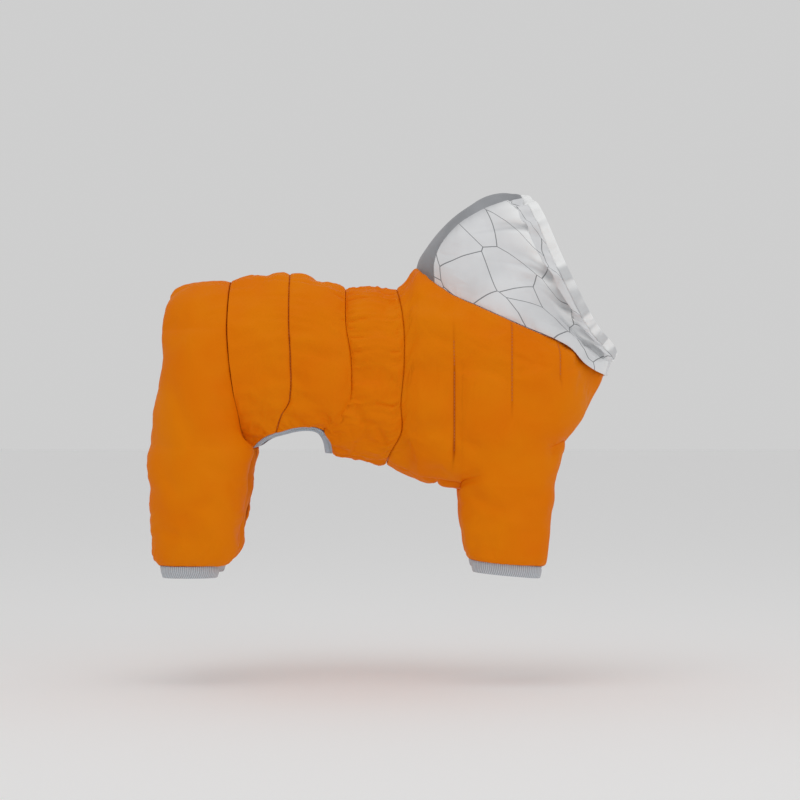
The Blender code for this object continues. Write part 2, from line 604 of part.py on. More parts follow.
def hood_side(material):
    """Side of the hood: a patch between the neck, the crown seam and the face casing."""
    columns = hood_columns()
    low = np.stack([HOOD_LOWER["x"], HOOD_LOWER["y"], HOOD_LOWER["z"]], axis=-1).astype(float)
    high = crown_seam(CORNER + (1 - CORNER) * columns)
    back = crown_seam(CORNER * HOOD_ROWS)
    edge, way, _ = face_loop()
    edge = (edge + way * (CASING_WIDTH + 3 * SEAM_GAP))[:FACE_STEPS]
    edge[0, 1] = 0.3
    throat = np.array([low[-1]])
    front = np.concatenate([throat, resample_ends(edge, [0, 0.13, 0.25, 0.4, 0.62, 0.84, 1])])
    u, v = grid(columns, HOOD_ROWS)
    patch = np.zeros((len(HOOD_ROWS), len(columns), 3))
    for axis in (0, 2):
        lofted = (1 - v) * low[None, :, axis] + v * high[None, :, axis]
        left = back[:, None, axis] - (1 - v) * low[0, axis] - v * high[0, axis]
        right = front[:, None, axis] - (1 - v) * low[-1, axis] - v * high[-1, axis]
        patch[..., axis] = lofted + (1 - u) * left + u * right
    # across: a full cheek, rounded over to the crown, then drawn in to the face edge and the back seam
    full = np.array(HOOD_LOWER["full"], float)
    cheek = (1 - v ** 3) * full + v ** 3 * high[:, 1]
    curve = (full - low[:, 1]) / (full[-1] - low[-1, 1])
    draw = curve + (ease(u, 0.45, 1) - curve) * ease(v, 0, 0.35)
    patch[..., 1] = cheek + (front[:, 1:2] - cheek[:, -1:]) * draw + (back[:, 1:2] - cheek[:, :1]) * (1 - u) ** 2
    normal = unit(np.cross(np.gradient(patch, axis=0), np.gradient(patch, axis=1)))
    inner = patch - normal * HOOD_SHELL
    patch[..., 1], inner[..., 1] = np.maximum(patch[..., 1], 0.2), np.maximum(inner[..., 1], 0.2)
    pair("hood_side", patch, inner, material)


def resample_ends(points, shares):
    """Points at given shares of a run."""
    run = np.concatenate([[0], np.cumsum(np.linalg.norm(np.diff(points, axis=0), axis=1))])
    at = np.array(shares) * run[-1]
    return np.stack([np.interp(at, run, points[:, k]) for k in range(3)], axis=-1)


def gusset(material):
    """Centre strip of the hood, from the nape over the crown."""
    at = np.concatenate([CORNER * HOOD_ROWS, CORNER + (1 - CORNER) * hood_columns()[1:]])
    seam, crown = crown_seam(at), along(np.stack([CROWN["x"], CROWN["z"]], axis=-1), at)
    shares = np.array([-1, -0.6, 0, 0.6, 1]) * 0.965
    base = np.zeros((len(at), len(shares), 3))
    for j, share in enumerate(shares):
        base[:, j, 0] = crown[:, 0] + (seam[:, 0] - crown[:, 0]) * share ** 2
        base[:, j, 1] = seam[:, 1] * share
        base[:, j, 2] = crown[:, 1] + (seam[:, 2] - crown[:, 1]) * share ** 2
    normal = unit(np.cross(np.gradient(base, axis=0), np.gradient(base, axis=1)))
    wall("hood_gusset", base, base - normal * HOOD_SHELL, material)


def back_height(x):
    """Height of the back edges: the trunk's, then the rump's straight run to the tail."""
    rear = hind_rear(np.array(hind_rows()[0]))
    front = hind_front(np.array(hind_rows()[0]))
    part = (x - rear[0]) / (front[0] - rear[0])
    return np.where(x > front[0], through(TRUNK, "top", x), front[2] * part + rear[2] * (1 - part))


def zip_tape(material):
    x = np.concatenate([np.linspace(ZIP_REAR, 28, 18), [33, 38, 42, 45, ZIP_FRONT]])
    z = back_height(x)
    base = np.stack([np.stack([x, side + 0 * x, z], axis=-1) for side in (-TAPE_HALF, TAPE_HALF)], axis=1)
    slope = np.gradient(z, x)
    normal = unit(np.stack([-slope, 0 * x, 1 + 0 * x], axis=-1))[:, None]
    wall("zip_tape", base - normal * 0.6, base - normal * 1.8, material)


def block(name, low, high, parent, material):
    """Box between two corners, in its parent's frame."""
    corners = [[x, y, z] for z in (low[2], high[2]) for y in (low[1], high[1]) for x in (low[0], high[0])]
    faces = [(0, 2, 3, 1), (4, 5, 7, 6), (0, 1, 5, 4), (2, 6, 7, 3), (0, 4, 6, 2), (1, 3, 7, 5)]
    piece = add_object(name, corners, faces, material)
    piece.data.shade_flat()
    piece.parent = parent
    return piece


def tube(name, radius, bore, half_length, parent, material):
    """Round bar or eye along Y, in its parent's frame; a bar has a bore of 0 and closed ends."""
    count = 16
    phase = np.arange(count) * 2 * pi / count
    rim = np.stack([np.cos(phase), 0 * phase, np.sin(phase)], axis=-1)
    ends = np.array([0, 1, 0]) * half_length
    if bore:
        outside, inside = (np.stack([rim * r - ends, rim * r + ends]) for r in (radius, bore))
        piece = wall(name, outside, inside, material, ring=True)
    else:
        sides = [(i, (i + 1) % count, (i + 1) % count + count, i + count) for i in range(count)]
        caps = [tuple(range(count))[::-1], tuple(range(count, 2 * count))]
        piece = add_object(name, np.concatenate([rim * radius - ends, rim * radius + ends]), sides + caps, material)
    piece.parent = parent
    return piece


def unite(piece, other):
    other.hide_render = True
    other.display_type = "WIRE"
    union = piece.modifiers.new(other.name, "BOOLEAN")
    union.operation = "UNION"
    union.solver = "EXACT"
    union.object = other


def zip_pieces(metal):
    """Slider at the tail end of the tape, with its pull tab hinged between two ears."""
    slope = float((back_height(SLIDER_AT + 1) - back_height(SLIDER_AT - 1)) / 2)
    seat = bpy.data.objects.new("zip_seat", None)
    seat.location = (SLIDER_AT * MM, 0, float(back_height(SLIDER_AT)) * MM)
    seat.rotation_euler = (0, -np.arctan(slope), 0)
    bpy.context.scene.collection.objects.link(seat)
    slider = block("zip_slider", (-4.5, -4, -0.1), (4.5, 4, 2.7), seat, metal)
    bevel = slider.modifiers.new("rounding", "BEVEL")
    bevel.width, bevel.segments = 0.7 * MM, 2
    for side in (-1, 1):
        ear = block(f"ear_{side}", (-1.6, side * 3.3 - 0.6, 2.1), (1.6, side * 3.3 + 0.6, 5.7), seat, metal)
        unite(slider, ear)
    pin = tube("pin", 0.7, 0, 3.2, seat, metal)
    pin.location = (0, 0, HINGE_UP * MM)
    unite(slider, pin)
    hinge = bpy.data.objects.new("zip_hinge", None)
    hinge.location = (0, 0, HINGE_UP * MM)
    hinge.parent = seat
    bpy.context.scene.collection.objects.link(hinge)
    pull = block("zip_pull", (-PULL_LENGTH, -2.2, -0.55), (-1.35, 2.2, 0.55), hinge, metal)
    unite(pull, tube("pull_eye", 1.6, 1.0, 2.2, hinge, metal))


def clear_scene():
    for item in list(bpy.data.objects):
        bpy.data.objects.remove(item, do_unlink=True)


def main():
    clear_scene()
    shell = make_material("orange_nylon", (0.98, 0.24, 0.002), 0.55)
    loin(shell)
    waist(shell)
    chest(shell)
    belly(shell)
    sleeve(shell)
    rump(shell)
    inner_leg(shell)
    knit = make_material("grey_rib_knit", (0.35, 0.35, 0.34), 0.8)
    cuff("hind_cuff", HIND, HEM_HIND, 0.0, (0.955, 0.94, 0.885), knit)
    cuff("fore_cuff", FORE, HEM_FORE, FORE_SLANT, (0.975, 0.965, 0.93), knit)
    binding(knit)
    reflective = make_material("reflective_fabric", (0.72, 0.73, 0.75), 0.35, 0.3)
    hood_side(reflective)
    gusset(reflective)
    casing(reflective)
    tape = make_material("zip_tape_orange", (0.9, 0.22, 0.004), 0.7)
    zip_tape(tape)
    zip_pieces(make_material("dark_metal", (0.12, 0.12, 0.13), 0.35, 0.9))


main()
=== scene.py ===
from functools import partial
from math import pi
import bpy
import numpy as np
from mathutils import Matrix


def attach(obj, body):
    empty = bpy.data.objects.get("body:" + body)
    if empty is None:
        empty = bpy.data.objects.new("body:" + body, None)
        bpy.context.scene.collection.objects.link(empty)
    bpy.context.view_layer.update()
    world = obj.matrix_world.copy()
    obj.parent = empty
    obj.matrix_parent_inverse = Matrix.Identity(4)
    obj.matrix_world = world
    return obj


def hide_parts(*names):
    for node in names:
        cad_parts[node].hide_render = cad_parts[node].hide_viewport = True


# Padded dog jumpsuit with a reflective hood. +X is the head end, +Z up; tables below are in millimetres.
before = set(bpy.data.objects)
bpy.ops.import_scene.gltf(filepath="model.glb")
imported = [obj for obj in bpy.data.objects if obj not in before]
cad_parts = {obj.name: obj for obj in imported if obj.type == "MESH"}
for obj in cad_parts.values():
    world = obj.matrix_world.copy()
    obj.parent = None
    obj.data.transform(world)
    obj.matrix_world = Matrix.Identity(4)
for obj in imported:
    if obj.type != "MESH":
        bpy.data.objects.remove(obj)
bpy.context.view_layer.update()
mm = 0.001
seamGap = 0.3


# small tools

def linear(hexText):
    # sRGB hex to linear red, green, blue, 1
    value = np.array([int(hexText[i:i + 2], 16) for i in (1, 3, 5)]) / 255
    value = np.where(value <= 0.04045, value / 12.92, ((value + 0.055) / 1.055) ** 2.4)
    return (*value.tolist(), 1.0)


def through(table, wanted, at, key="x"):
    # smooth curve through a table's rows: a cubic between two rows, with the slopes of their neighbours
    knots, values = np.array(table[key], float), np.array(table[wanted], float)
    order = np.argsort(knots, kind="stable")
    knots, values = knots[order], values[order]
    slopes = np.gradient(values, knots)
    at = np.clip(np.asarray(at, float), knots[0], knots[-1])
    i = np.clip(np.searchsorted(knots, at, side="right") - 1, 0, len(knots) - 2)
    step = knots[i + 1] - knots[i]
    s = (at - knots[i]) / step
    return (values[i] * (1 + 2 * s) * (1 - s) ** 2 + values[i + 1] * s * s * (3 - 2 * s)
            + step * (slopes[i] * s * (1 - s) ** 2 - slopes[i + 1] * s * s * (1 - s)))


def along(rows, at):
    # smooth curve through points in order, at = share of the length
    points = np.array(rows, float)
    run = runOf(points)
    table = {k: points[:, k] for k in range(points.shape[1])}
    table["s"] = run / run[-1]
    return np.stack([through(table, k, at, key="s") for k in range(points.shape[1])], axis=-1)


def runOf(points):
    # length along a row of points up to each
    return np.concatenate([[0], np.cumsum(np.linalg.norm(np.diff(points, axis=0), axis=1))])


def ease(value, low, high):
    s = np.clip((np.asarray(value, float) - low) / (high - low), 0, 1)
    return s * s * (3 - 2 * s)


def unit(vectors):
    return vectors / np.maximum(np.linalg.norm(vectors, axis=-1, keepdims=True), 1e-9)


def noise(a, b, seed, wrap=None):
    # random lattice values joined by smooth steps, from -1 to 1; wrap closes it after that many cells along a
    lattice = np.random.default_rng(seed).uniform(-1, 1, (128, 128))
    a, b = np.broadcast_arrays(np.asarray(a, float), np.asarray(b, float))
    i, j = np.floor(a).astype(int), np.floor(b).astype(int)
    s, t = ease(a - i, 0, 1), ease(b - j, 0, 1)
    size = wrap or 128
    low, high = i % size, (i + 1) % size
    j, k = j % 128, (j + 1) % 128
    return ((lattice[low, j] * (1 - s) + lattice[high, j] * s) * (1 - t)
            + (lattice[low, k] * (1 - s) + lattice[high, k] * s) * t)


def billow(a, b, seed, wrap=None):
    # rounded ridges between narrow valleys: the size of a noise, less its mean
    return np.abs(noise(a, b, seed, wrap)) * 2 - 0.66


puckerForm = dict(long=0.75, uneven=0.55, rise=0.28, fall=1.5, drawn=3.2, broad=0.7, narrow=0.4, height=2.2)


def puckers(run, away, seed, wave, reach, wrap=None):
    # short ridges square to a seam: billows drawn out away from it, dying off at uneven lengths
    form = puckerForm
    scale = run / wave if wrap is None else run / run.max() * wrap
    length = reach * (form["long"] + form["uneven"] * noise(scale * 0.5, 3.5 + 0 * away, seed + 1, wrap))
    fade = (1 - np.exp(-away / (form["rise"] * reach))) * np.exp(-(away / length) ** form["fall"])
    broad = billow(scale, away / (form["drawn"] * reach), seed, wrap)
    narrow = billow(scale * 2, away / (form["drawn"] / 2 * reach), seed + 2, wrap and wrap * 2)
    return fade * (form["broad"] * broad + form["narrow"] * narrow) * form["height"]


def soften(away, depth, reach):
    # the swelling beside a seam: a quarter of an ellipse, 0 on the seam and full at the reach
    s = np.clip(away / reach, 0, 1)
    return depth * np.sqrt(1 - (1 - s) ** 2)


def crease(base, line, width, depth):
    # soft trough between two points of the side view, deepest in its middle; a minus depth is a ridge
    (ax, az), (bx, bz) = line
    dx, dz = bx - ax, bz - az
    length = np.hypot(dx, dz)
    t = ((base[..., 0] - ax) * dx + (base[..., 2] - az) * dz) / length ** 2
    off = np.abs((base[..., 0] - ax) * dz - (base[..., 2] - az) * dx) / length
    body = np.exp(-(off / width) ** 2) * np.clip(1 - (2 * t - 1) ** 4, 0, 1) * (t > 0) * (t < 1)
    return -depth * body


def pick(rows, run, at):
    # points of a row at some lengths along it, straight between its own
    return np.stack([np.interp(at, run, rows[:, n]) for n in range(3)], axis=-1)


def evened(loop, times):
    # each point of a closed loop moved half way to the middle of its two neighbours
    for _ in range(times):
        loop = loop * 0.5 + (np.roll(loop, 1, axis=0) + np.roll(loop, -1, axis=0)) * 0.25
    return loop


def squareTo(edge, way):
    # a closed loop's tangents, and its ways turned square to them
    tangent = unit(np.roll(edge, -1, axis=0) - np.roll(edge, 1, axis=0))
    return tangent, unit(way - tangent * np.sum(way * tangent, axis=-1, keepdims=True))


def offMiddle(points):
    # points kept clear of the suit's middle plane, where the two sides meet
    points[..., 1] = np.maximum(points[..., 1], 0.2)
    return points


def gridFaces(rows, cols, ring=False, loop=False):
    # corner numbers of a grid's squares; a ring joins its last column to its first, a loop its last row too
    i, j = np.meshgrid(np.arange(rows if loop else rows - 1), np.arange(cols if ring else cols - 1), indexing="ij")
    k, m = (i + 1) % rows, (j + 1) % cols
    return np.stack([i * cols + j, i * cols + m, k * cols + m, k * cols + j], axis=-1).reshape(-1, 4)


def addObject(name, data):
    made = bpy.data.objects.new(name, data)
    bpy.context.scene.collection.objects.link(made)
    return made


# simulation of the padded pieces: stiffness as Blender states it, mass in kg a point, slide a share, smooth a count
clothRun = dict(frames=18, quality=5, vertexMass=0.0012, damping=4.0, tension=12.0, bending=0.15, pressure=5.0,
                slide=0.3, smooth=2)


def blown(name, outer, normal, held, cut, ring=False, free=1.0):
    # a piece's face is cut larger by the excess, held where it is sewn, and blown outwards as cloth; each point
    # then moves out by what it moved along its normal, bent over towards the cap, with a small share of what it
    # slid sideways, all evened out with its neighbours and less where free is below 1
    cap, rows, cols = cut["cap"], *outer.shape[:2]
    faces = gridFaces(rows, cols, ring)
    down, over = np.diff(outer, axis=0)[:, :-1], np.diff(outer, axis=1)[:-1]
    if np.sum(np.cross(down, over) * normal[:-1, :-1]) > 0:
        faces = faces[:, ::-1]
    mesh = bpy.data.meshes.new(name)
    mesh.from_pydata((outer.reshape(-1, 3) * mm).tolist(), [], faces.tolist())
    cloth = addObject(name, mesh)
    cloth.vertex_groups.new(name="sewn").add(np.flatnonzero(held.ravel()).tolist(), 1.0, "REPLACE")
    modifier = cloth.modifiers.new("cloth", "CLOTH")
    settings, cache = modifier.settings, modifier.point_cache
    settings.quality, settings.mass = clothRun["quality"], clothRun["vertexMass"]
    settings.air_damping = clothRun["damping"]
    settings.tension_stiffness = settings.compression_stiffness = clothRun["tension"]
    settings.shear_stiffness, settings.bending_stiffness = clothRun["tension"] / 3, clothRun["bending"]
    settings.use_pressure, settings.uniform_pressure_force = True, clothRun["pressure"]
    settings.vertex_group_mass, settings.pin_stiffness = "sewn", 1.0
    settings.shrink_min = settings.shrink_max = -cut["excess"]
    settings.effector_weights.gravity = 0.0
    modifier.collision_settings.use_collision = False
    cache.frame_start, cache.frame_end = 1, clothRun["frames"]
    for frameNumber in range(1, clothRun["frames"] + 1):
        bpy.context.scene.frame_set(frameNumber)
    result = cloth.evaluated_get(bpy.context.evaluated_depsgraph_get()).data
    points = np.empty(rows * cols * 3, np.float32)
    result.vertices.foreach_get("co", points)
    bpy.data.objects.remove(cloth)
    bpy.context.scene.frame_set(1)
    move = points.reshape(outer.shape).astype(float) / mm - outer
    lift = np.sum(move * normal, axis=-1, keepdims=True)
    slid = move - lift * normal
    print(name, "moved out", np.percentile(lift, (2, 50, 98)).round(1).tolist(), "mm")
    slid *= clothRun["slide"] / (1 + np.linalg.norm(slid, axis=-1, keepdims=True) / cap)
    move = cap * np.tanh(lift / cap) * normal + slid
    for _ in range(cut.get("smooth", clothRun["smooth"])):
        around = sum(np.roll(move, way, axis) for way in (1, -1) for axis in (0, 1))
        move = np.where(held[..., None], 0, (2 * move + around) / 6)
    return outer + move * np.broadcast_to(free, outer.shape[:2])[..., None]


def sewnRound(shape, ring=False):
    # which points of a grid are held: its edges, but for the sides where a ring closes
    held = np.zeros(shape, bool)
    held[0], held[-1] = True, True
    if not ring:
        held[:, 0], held[:, -1] = True, True
    return held


# the garment's own shape, as in the CAD

trunkForm = dict(
    x=[-175, -130, -93, -60, -30, 0, 28, 38, 51, 57, 71, 93, 115, 137, 158, 178, 196, 210, 226, 240, 252, 262, 267],
    top=[5, 13, 15, 7, -2, 1, -2, 9, 23.5, 17.5, 6, -9, -19, -29, -38.5, -47, -54, -59, -65, -73, -81, -88, -91],
    side=[-75, -78, -82, -87, -92, -95, -97, -98, -100, -101, -103, -106, -110, -112, -112, -111, -109, -107, -104,
          -101, -98, -96, -93],
    belly=[-188, -190, -189, -186, -188, -193, -203, -209, -214.5, -215.5, -217.5, -223, -225, -221, -210, -200,
           -189, -180, -164, -143, -123, -106, -96],
    slot=[6, 6, 6, 6, 6, 6, 6, 6, 6, 21, 38, 51, 60, 65, 67, 66, 62, 57, 47, 36, 25, 12, 1],
    half=[78, 76, 72, 69, 66, 66, 68, 70, 74, 75, 78, 83, 86, 87, 87, 86, 83, 77, 63, 48, 33, 17, 3],
    round=[0.8, 0.8, 0.8, 0.75, 0.7, 0.7, 0.7, 0.68, 0.65, 0.64, 0.6, 0.55, 0.5, 0.48, 0.48, 0.48, 0.5, 0.53,
           0.58, 0.64, 0.7, 0.75, 0.8])
seams = dict(
    rear=dict(z=[-185, -172, -161, -140, -112, -83, -62, 20],
              x=[-133, -141, -145.5, -149.5, -155, -158.7, -161, -160]),
    quilt=dict(z=[-172, -155, -145, -134, -103, -52, 20], x=[-108, -101, -93, -91, -91, -93, -93.7]),
    waist=dict(z=[-190, -175, -158, -150, -140, -130, -116, -83, -41, 5],
               x=[-44, -46, -53, -46, -37, -30, -24, -22.5, -29, -30]),
    chest=dict(z=[-205, -187, -166, -130, -87, -28, 5], x=[14, 21, 33, 33.5, 37, 35, 28]),
    arch=dict(x=[-150, -134, -128, -118, -107, -88, -71, -60, -50, -44],
              z=[-183, -180, -174, -167, -164, -158, -156.5, -158, -165, -175]))
hindForm = dict(
    z=[-325, -313, -307, -294, -277, -254, -232, -207, -191, -178, -145, -122, -98, -75, -52, -32, -22, -15, -9,
       -2, 5, 7.8],
    front=[-170, -170, -162, -154, -152, -147, -143, -141, -137, -134] + [-134] * 12,
    rear=[-240, -240, -243, -245.5, -246.5, -247, -247.5, -248.5, -248, -247, -245, -239.5, -236, -234, -233.5,
          -231.5, -230, -229, -228, -226, -222, -220],
    out=[80, 80, 84, 88, 90, 91, 92, 92, 92, 92, 91, 89, 86, 82, 76, 68, 61, 55, 49, 37, 20, 6],
    into=[28, 28, 25, 23, 22, 21, 21, 22, 23, 24] + [24] * 12,
    seam=[54, 54, 54, 54, 54, 53, 50, 46, 41, 34, 26, 24, 24, 24, 24, 22, 18, 9, 1.5, 1, 1, 1])
foreForm = dict(
    z=[-325, -310, -305, -295, -283, -271, -254, -241, -223, -199, -180, -150],
    front=[193.5, 193.5, 194, 194.5, 195.5, 197, 199, 202.5, 204.5, 209, 212, 214],
    rear=[111, 111, 111.5, 112, 111.5, 109.5, 107.5, 107, 107, 105, 103, 102],
    out=[80, 80, 84, 87, 89, 90, 90, 90, 89, 88, 87, 87],
    into=[28, 28, 25, 23, 22, 21, 20, 20, 20, 21, 22, 22])
hoodForm = dict(
    crown=dict(x=[50.5, 52.5, 63, 78, 97, 114, 125, 139, 150, 163, 170],
               z=[24, 32, 49, 68, 86, 98, 105, 110, 111.5, 110.5, 109]),
    seam=dict(x=[71, 71, 76, 90, 108, 122, 138, 150, 163, 172], z=[7, 30, 46, 66, 81, 89, 96, 99, 101, 102],
              y=[38, 33, 29, 26.5, 25, 24.5, 24, 24, 24, 24]),
    low=dict(x=[71, 93, 115, 137, 158, 178, 196, 210, 226, 240, 252, 264, 270],
             z=[7, -7.6, -17.6, -27.6, -37.1, -45.6, -53, -59.5, -69, -84, -92, -97, -98],
             y=[38, 50.5, 59.5, 64.5, 66.5, 66.5, 67.5, 67.5, 64, 56.2, 43.8, 25.5, 0.3],
             full=[38, 50.5, 59.5, 64.5, 66.5, 67, 67.5, 67.5, 65, 63.5, 62, 61, 60.5]),
    face=dict(x=[281, 274, 259, 245.5, 233.5, 223.6, 213.5, 203.5, 196.5, 190, 183.5],
              y=[0.3, 24, 43, 54, 59, 60, 59, 55, 50, 42, 24],
              z=[-73, -61, -45.5, -25, -2, 18, 40, 64, 81, 94, 102],
              back=[240, 232, 225, 212, 206, 204, 202, 200, 196, 186, 172]),
    corner=0.36)
places = dict(nape=51.0, throat=265.5, bellyRear=30.0, armMiddle=159.0, armReach=57.0, armTurn=0.856,
              armSpread=0.124, armRear=(96, 112), armFront=(205, 222), hemHind=-313.0, hemFore=-310.0,
              slantFore=4.0, legSeam=54.0)


def trunk(x, turn):
    # superellipse round the trunk: turn 0 at the back edge, 0.5 on the flank, 1 under the belly
    x, turn = np.broadcast_arrays(np.asarray(x, float), np.asarray(turn, float))
    top, side, low, slot, half, power = (
        through(trunkForm, k, x) for k in ("top", "side", "belly", "slot", "half", "round"))
    angle = pi * np.clip(turn, 0, 1)
    sine, cosine = np.abs(np.sin(angle)), np.cos(angle)
    upper = turn < 0.5
    y = np.where(upper, slot + (half - slot) * sine ** 0.9, half * sine ** power)
    z = np.where(upper, side + (top - side) * np.abs(cosine) ** 0.9, side - (side - low) * np.abs(cosine) ** power)
    return np.stack([x, y, z], axis=-1)


def trunkNormal(x, turn):
    # square to the steps ahead and across
    step = 0.002
    turn = np.clip(turn, step, 1 - step)
    across = trunk(x, turn + step) - trunk(x, turn - step)
    ahead = trunk(x + 0.5, turn) - trunk(x - 0.5, turn)
    return unit(np.cross(ahead, across))


def seamX(seam, turn):
    # x where a flank seam crosses a turn, by stepping between its table and the trunk
    x = np.full(np.shape(turn), float(np.mean(seam["x"])))
    for _ in range(12):
        x = through(seam, "x", trunk(x, turn)[..., 2], key="z")
    return x


def turnAt(x, z):
    # turn on the lower half at a height
    side, low, power = (through(trunkForm, k, x) for k in ("side", "belly", "round"))
    part = np.clip((side - z) / (side - low), 0, 1) ** (1 / power)
    return 1 - np.arccos(part) / pi


def seamEnd(seam):
    # turn where a flank seam meets the belly opening's arch
    turn = 0.75
    for _ in range(30):
        x = float(seamX(seam, turn))
        turn = float(turnAt(x, through(seams["arch"], "z", x)))
    return turn


def lowTurn(x, side):
    # seam between flank and belly piece, split round the armhole
    rear, front = places["armMiddle"] - places["armReach"], places["armMiddle"] + places["armReach"]
    phase = np.sqrt(np.clip(1 - ((x - places["armMiddle"]) / places["armReach"]) ** 2, 0, 1))
    seam = places["armTurn"] + 0.04 * (1 - ease(x, 60, rear)) + 0.03 * ease(x, front, 262)
    return seam + side * places["armSpread"] * phase


def legRing(form, z, phase):
    # flattened ring of a leg at a height: phase 0 is its front, a quarter turn its outer side
    front, rear, out, into = (through(form, k, z, key="z") for k in ("front", "rear", "out", "into"))
    swing = np.sign(np.sin(phase)) * np.abs(np.sin(phase)) ** 0.85
    x = (front + rear) / 2 + (front - rear) / 2 * np.cos(phase)
    y = (out + into) / 2 + (out - into) / 2 * swing
    return np.stack([x, y, z + 0 * x], axis=-1)


def crownSeam(at):
    return along(np.stack([hoodForm["seam"][k] for k in "xyz"], axis=-1), at)


def besideArm(x):
    # 1 between the armhole's ends, 0 away from it
    return ease(x, *places["armRear"]) * (1 - ease(x, *places["armFront"]))


# mesh making

def gridNormal(base, flip=1, ring=False):
    down = np.gradient(base, axis=0)
    over = np.roll(base, -1, axis=1) - np.roll(base, 1, axis=1) if ring else np.gradient(base, axis=1)
    return unit(np.cross(down, over)) * flip


def gridLengths(base, ring=False):
    # length along the rows and down the columns, in millimetres
    steps = np.linalg.norm(np.diff(base, axis=1), axis=-1)
    over = np.concatenate([np.zeros((len(base), 1)), np.cumsum(steps, axis=1)], axis=1)
    if ring:
        closing = np.linalg.norm(base[:, :1] - base[:, -1:], axis=-1)
        over = np.concatenate([over, over[:, -1:] + closing], axis=1)
    steps = np.linalg.norm(np.diff(base, axis=0), axis=-1)
    down = np.concatenate([np.zeros((1, base.shape[1])), np.cumsum(steps, axis=0)], axis=0)
    return over, down


def wallMesh(name, outer, inner, material, ring=False, marks=None):
    # closed wall between two grids of one size: both faces, then a rim along each open edge; each face's corners
    # are noted as (row, column) too, so that the cloth lies flat in millimetres on them
    rows, cols = outer.shape[:2]
    count, last = rows * cols, cols if ring else cols - 1
    front = gridFaces(rows, cols, ring)
    i, j = np.meshgrid(np.arange(rows - 1), np.arange(last), indexing="ij")
    faces = [front, front[:, ::-1] + count]
    spots = [np.stack([i, j, i, j + 1, i + 1, j + 1, i + 1, j], axis=-1).reshape(-1, 4, 2)]
    spots.append(spots[0][:, ::-1])
    i, j = np.arange(rows - 1), np.arange(last)
    foot, far = rows - 1, cols - 1
    rims = [(0 * j, j + 1, 0 * j, j), (0 * j + foot, j, 0 * j + foot, j + 1)]
    if not ring:
        rims += [(i, 0 * i, i + 1, 0 * i), (i + 1, 0 * i + far, i, 0 * i + far)]
    for a, b, c, d in rims:
        start, end = a * cols + b % cols, c * cols + d % cols
        faces.append(np.stack([start, end, end + count, start + count], axis=-1))
        spots.append(np.stack([a, b, c, d, c, d, a, b], axis=-1).reshape(-1, 4, 2))
    faces, spots = np.concatenate(faces), np.concatenate(spots)
    points = np.concatenate([outer.reshape(-1, 3), inner.reshape(-1, 3)])
    over, down = gridLengths(outer, ring)
    row, col = spots[..., 0], spots[..., 1]
    flat = np.stack([over[row, col], down[row, col % cols]], axis=-1)
    marks = {key: np.concatenate([value.ravel(), value.ravel() * 0]) for key, value in (marks or {}).items()}
    return meshObject(name, points, faces, material, flat.reshape(-1, 2), marks)


creaseAngle = 0.9                    # radians between two faces, past which their edge is drawn sharp


def meshObject(name, points, faces, material, flat=None, marks=None):
    # points in millimetres and four-sided faces, turned outward by the sign of the volume that they close
    a, b, c, d = (points[faces[:, n]] for n in range(4))
    volume = np.sum(a * np.cross(b, c)) + np.sum(a * np.cross(c, d))
    if volume < 0:
        faces = faces[:, ::-1]
        flat = None if flat is None else flat.reshape(-1, 4, 2)[:, ::-1].reshape(-1, 2)
    mesh = bpy.data.meshes.new(name)
    mesh.vertices.add(len(points))
    mesh.vertices.foreach_set("co", (points * mm).astype(np.float32).ravel())
    mesh.loops.add(faces.size)
    mesh.loops.foreach_set("vertex_index", faces.astype(np.int32).ravel())
    mesh.polygons.add(len(faces))
    mesh.polygons.foreach_set("loop_start", np.arange(0, faces.size, 4, dtype=np.int32))
    mesh.update(calc_edges=True)
    mesh.validate()
    mesh.shade_smooth()
    mesh.set_sharp_from_angle(angle=creaseAngle)
    if flat is not None:
        layer = mesh.uv_layers.new(name="cloth")
        layer.data.foreach_set("uv", (flat * mm).astype(np.float32).ravel())
    for key, value in (marks or {}).items():
        mesh.attributes.new(key, "FLOAT", "POINT").data.foreach_set("value", value.astype(np.float32))
    mesh.materials.append(material)
    return addObject(name, mesh)


def bothSides(name, node, outer, inner, material, slot, **extra):
    # the left piece and its mirror image, each in its CAD node's place
    made = []
    for side, sign in (("left", 1), ("right", -1)):
        piece = wallMesh(f"{name}_{side}", outer * [1, sign, 1], inner * [1, sign, 1], material, **extra)
        made.append(settle(piece, slot, f"{node}_{side}"))
    return made


def paddedPair(name, node, outer, inner, mark, ring=False):
    # both sides of a padded piece, with its dark seam lines, partly painted shade, marked
    for piece in bothSides(name, node, outer, inner, finishes["shell"], "padded_shell", ring=ring,
                           marks=dict(seamLineShade=mark)):
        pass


def settle(piece, slot, *nodes):
    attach(piece, "suit")
    if nodes:
        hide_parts(*nodes)
    return piece


def bandMesh(name, edge, way, normal, cut, material, section, ripple, marks=None):
    # closed band along a loop: a section of (across, out) shares carried along it, with a ripple along the normal
    across, out = np.array(section).T * [[cut["width"]], [cut["thick"]]]
    rings = edge[:, None] + way[:, None] * across[None, :, None] + normal[:, None] * out[None, :, None]
    rings = rings + normal[:, None] * ripple[..., None]
    count, sides = rings.shape[:2]
    faces = gridFaces(count, sides, ring=True, loop=True)
    i, j = np.meshgrid(np.arange(count), np.arange(sides), indexing="ij")
    run = runOf(np.concatenate([edge, edge[:1]]))
    girth = runOf(np.stack([np.append(across, across[0]), np.append(out, out[0])], axis=-1))
    flat = np.stack([run[i], girth[j], run[i], girth[j + 1], run[i + 1], girth[j + 1], run[i + 1], girth[j]],
                    axis=-1)
    marks = {key: value.ravel() for key, value in (marks or {}).items()}
    return meshObject(name, rings.reshape(-1, 3), faces, material, flat.reshape(-1, 2), marks)


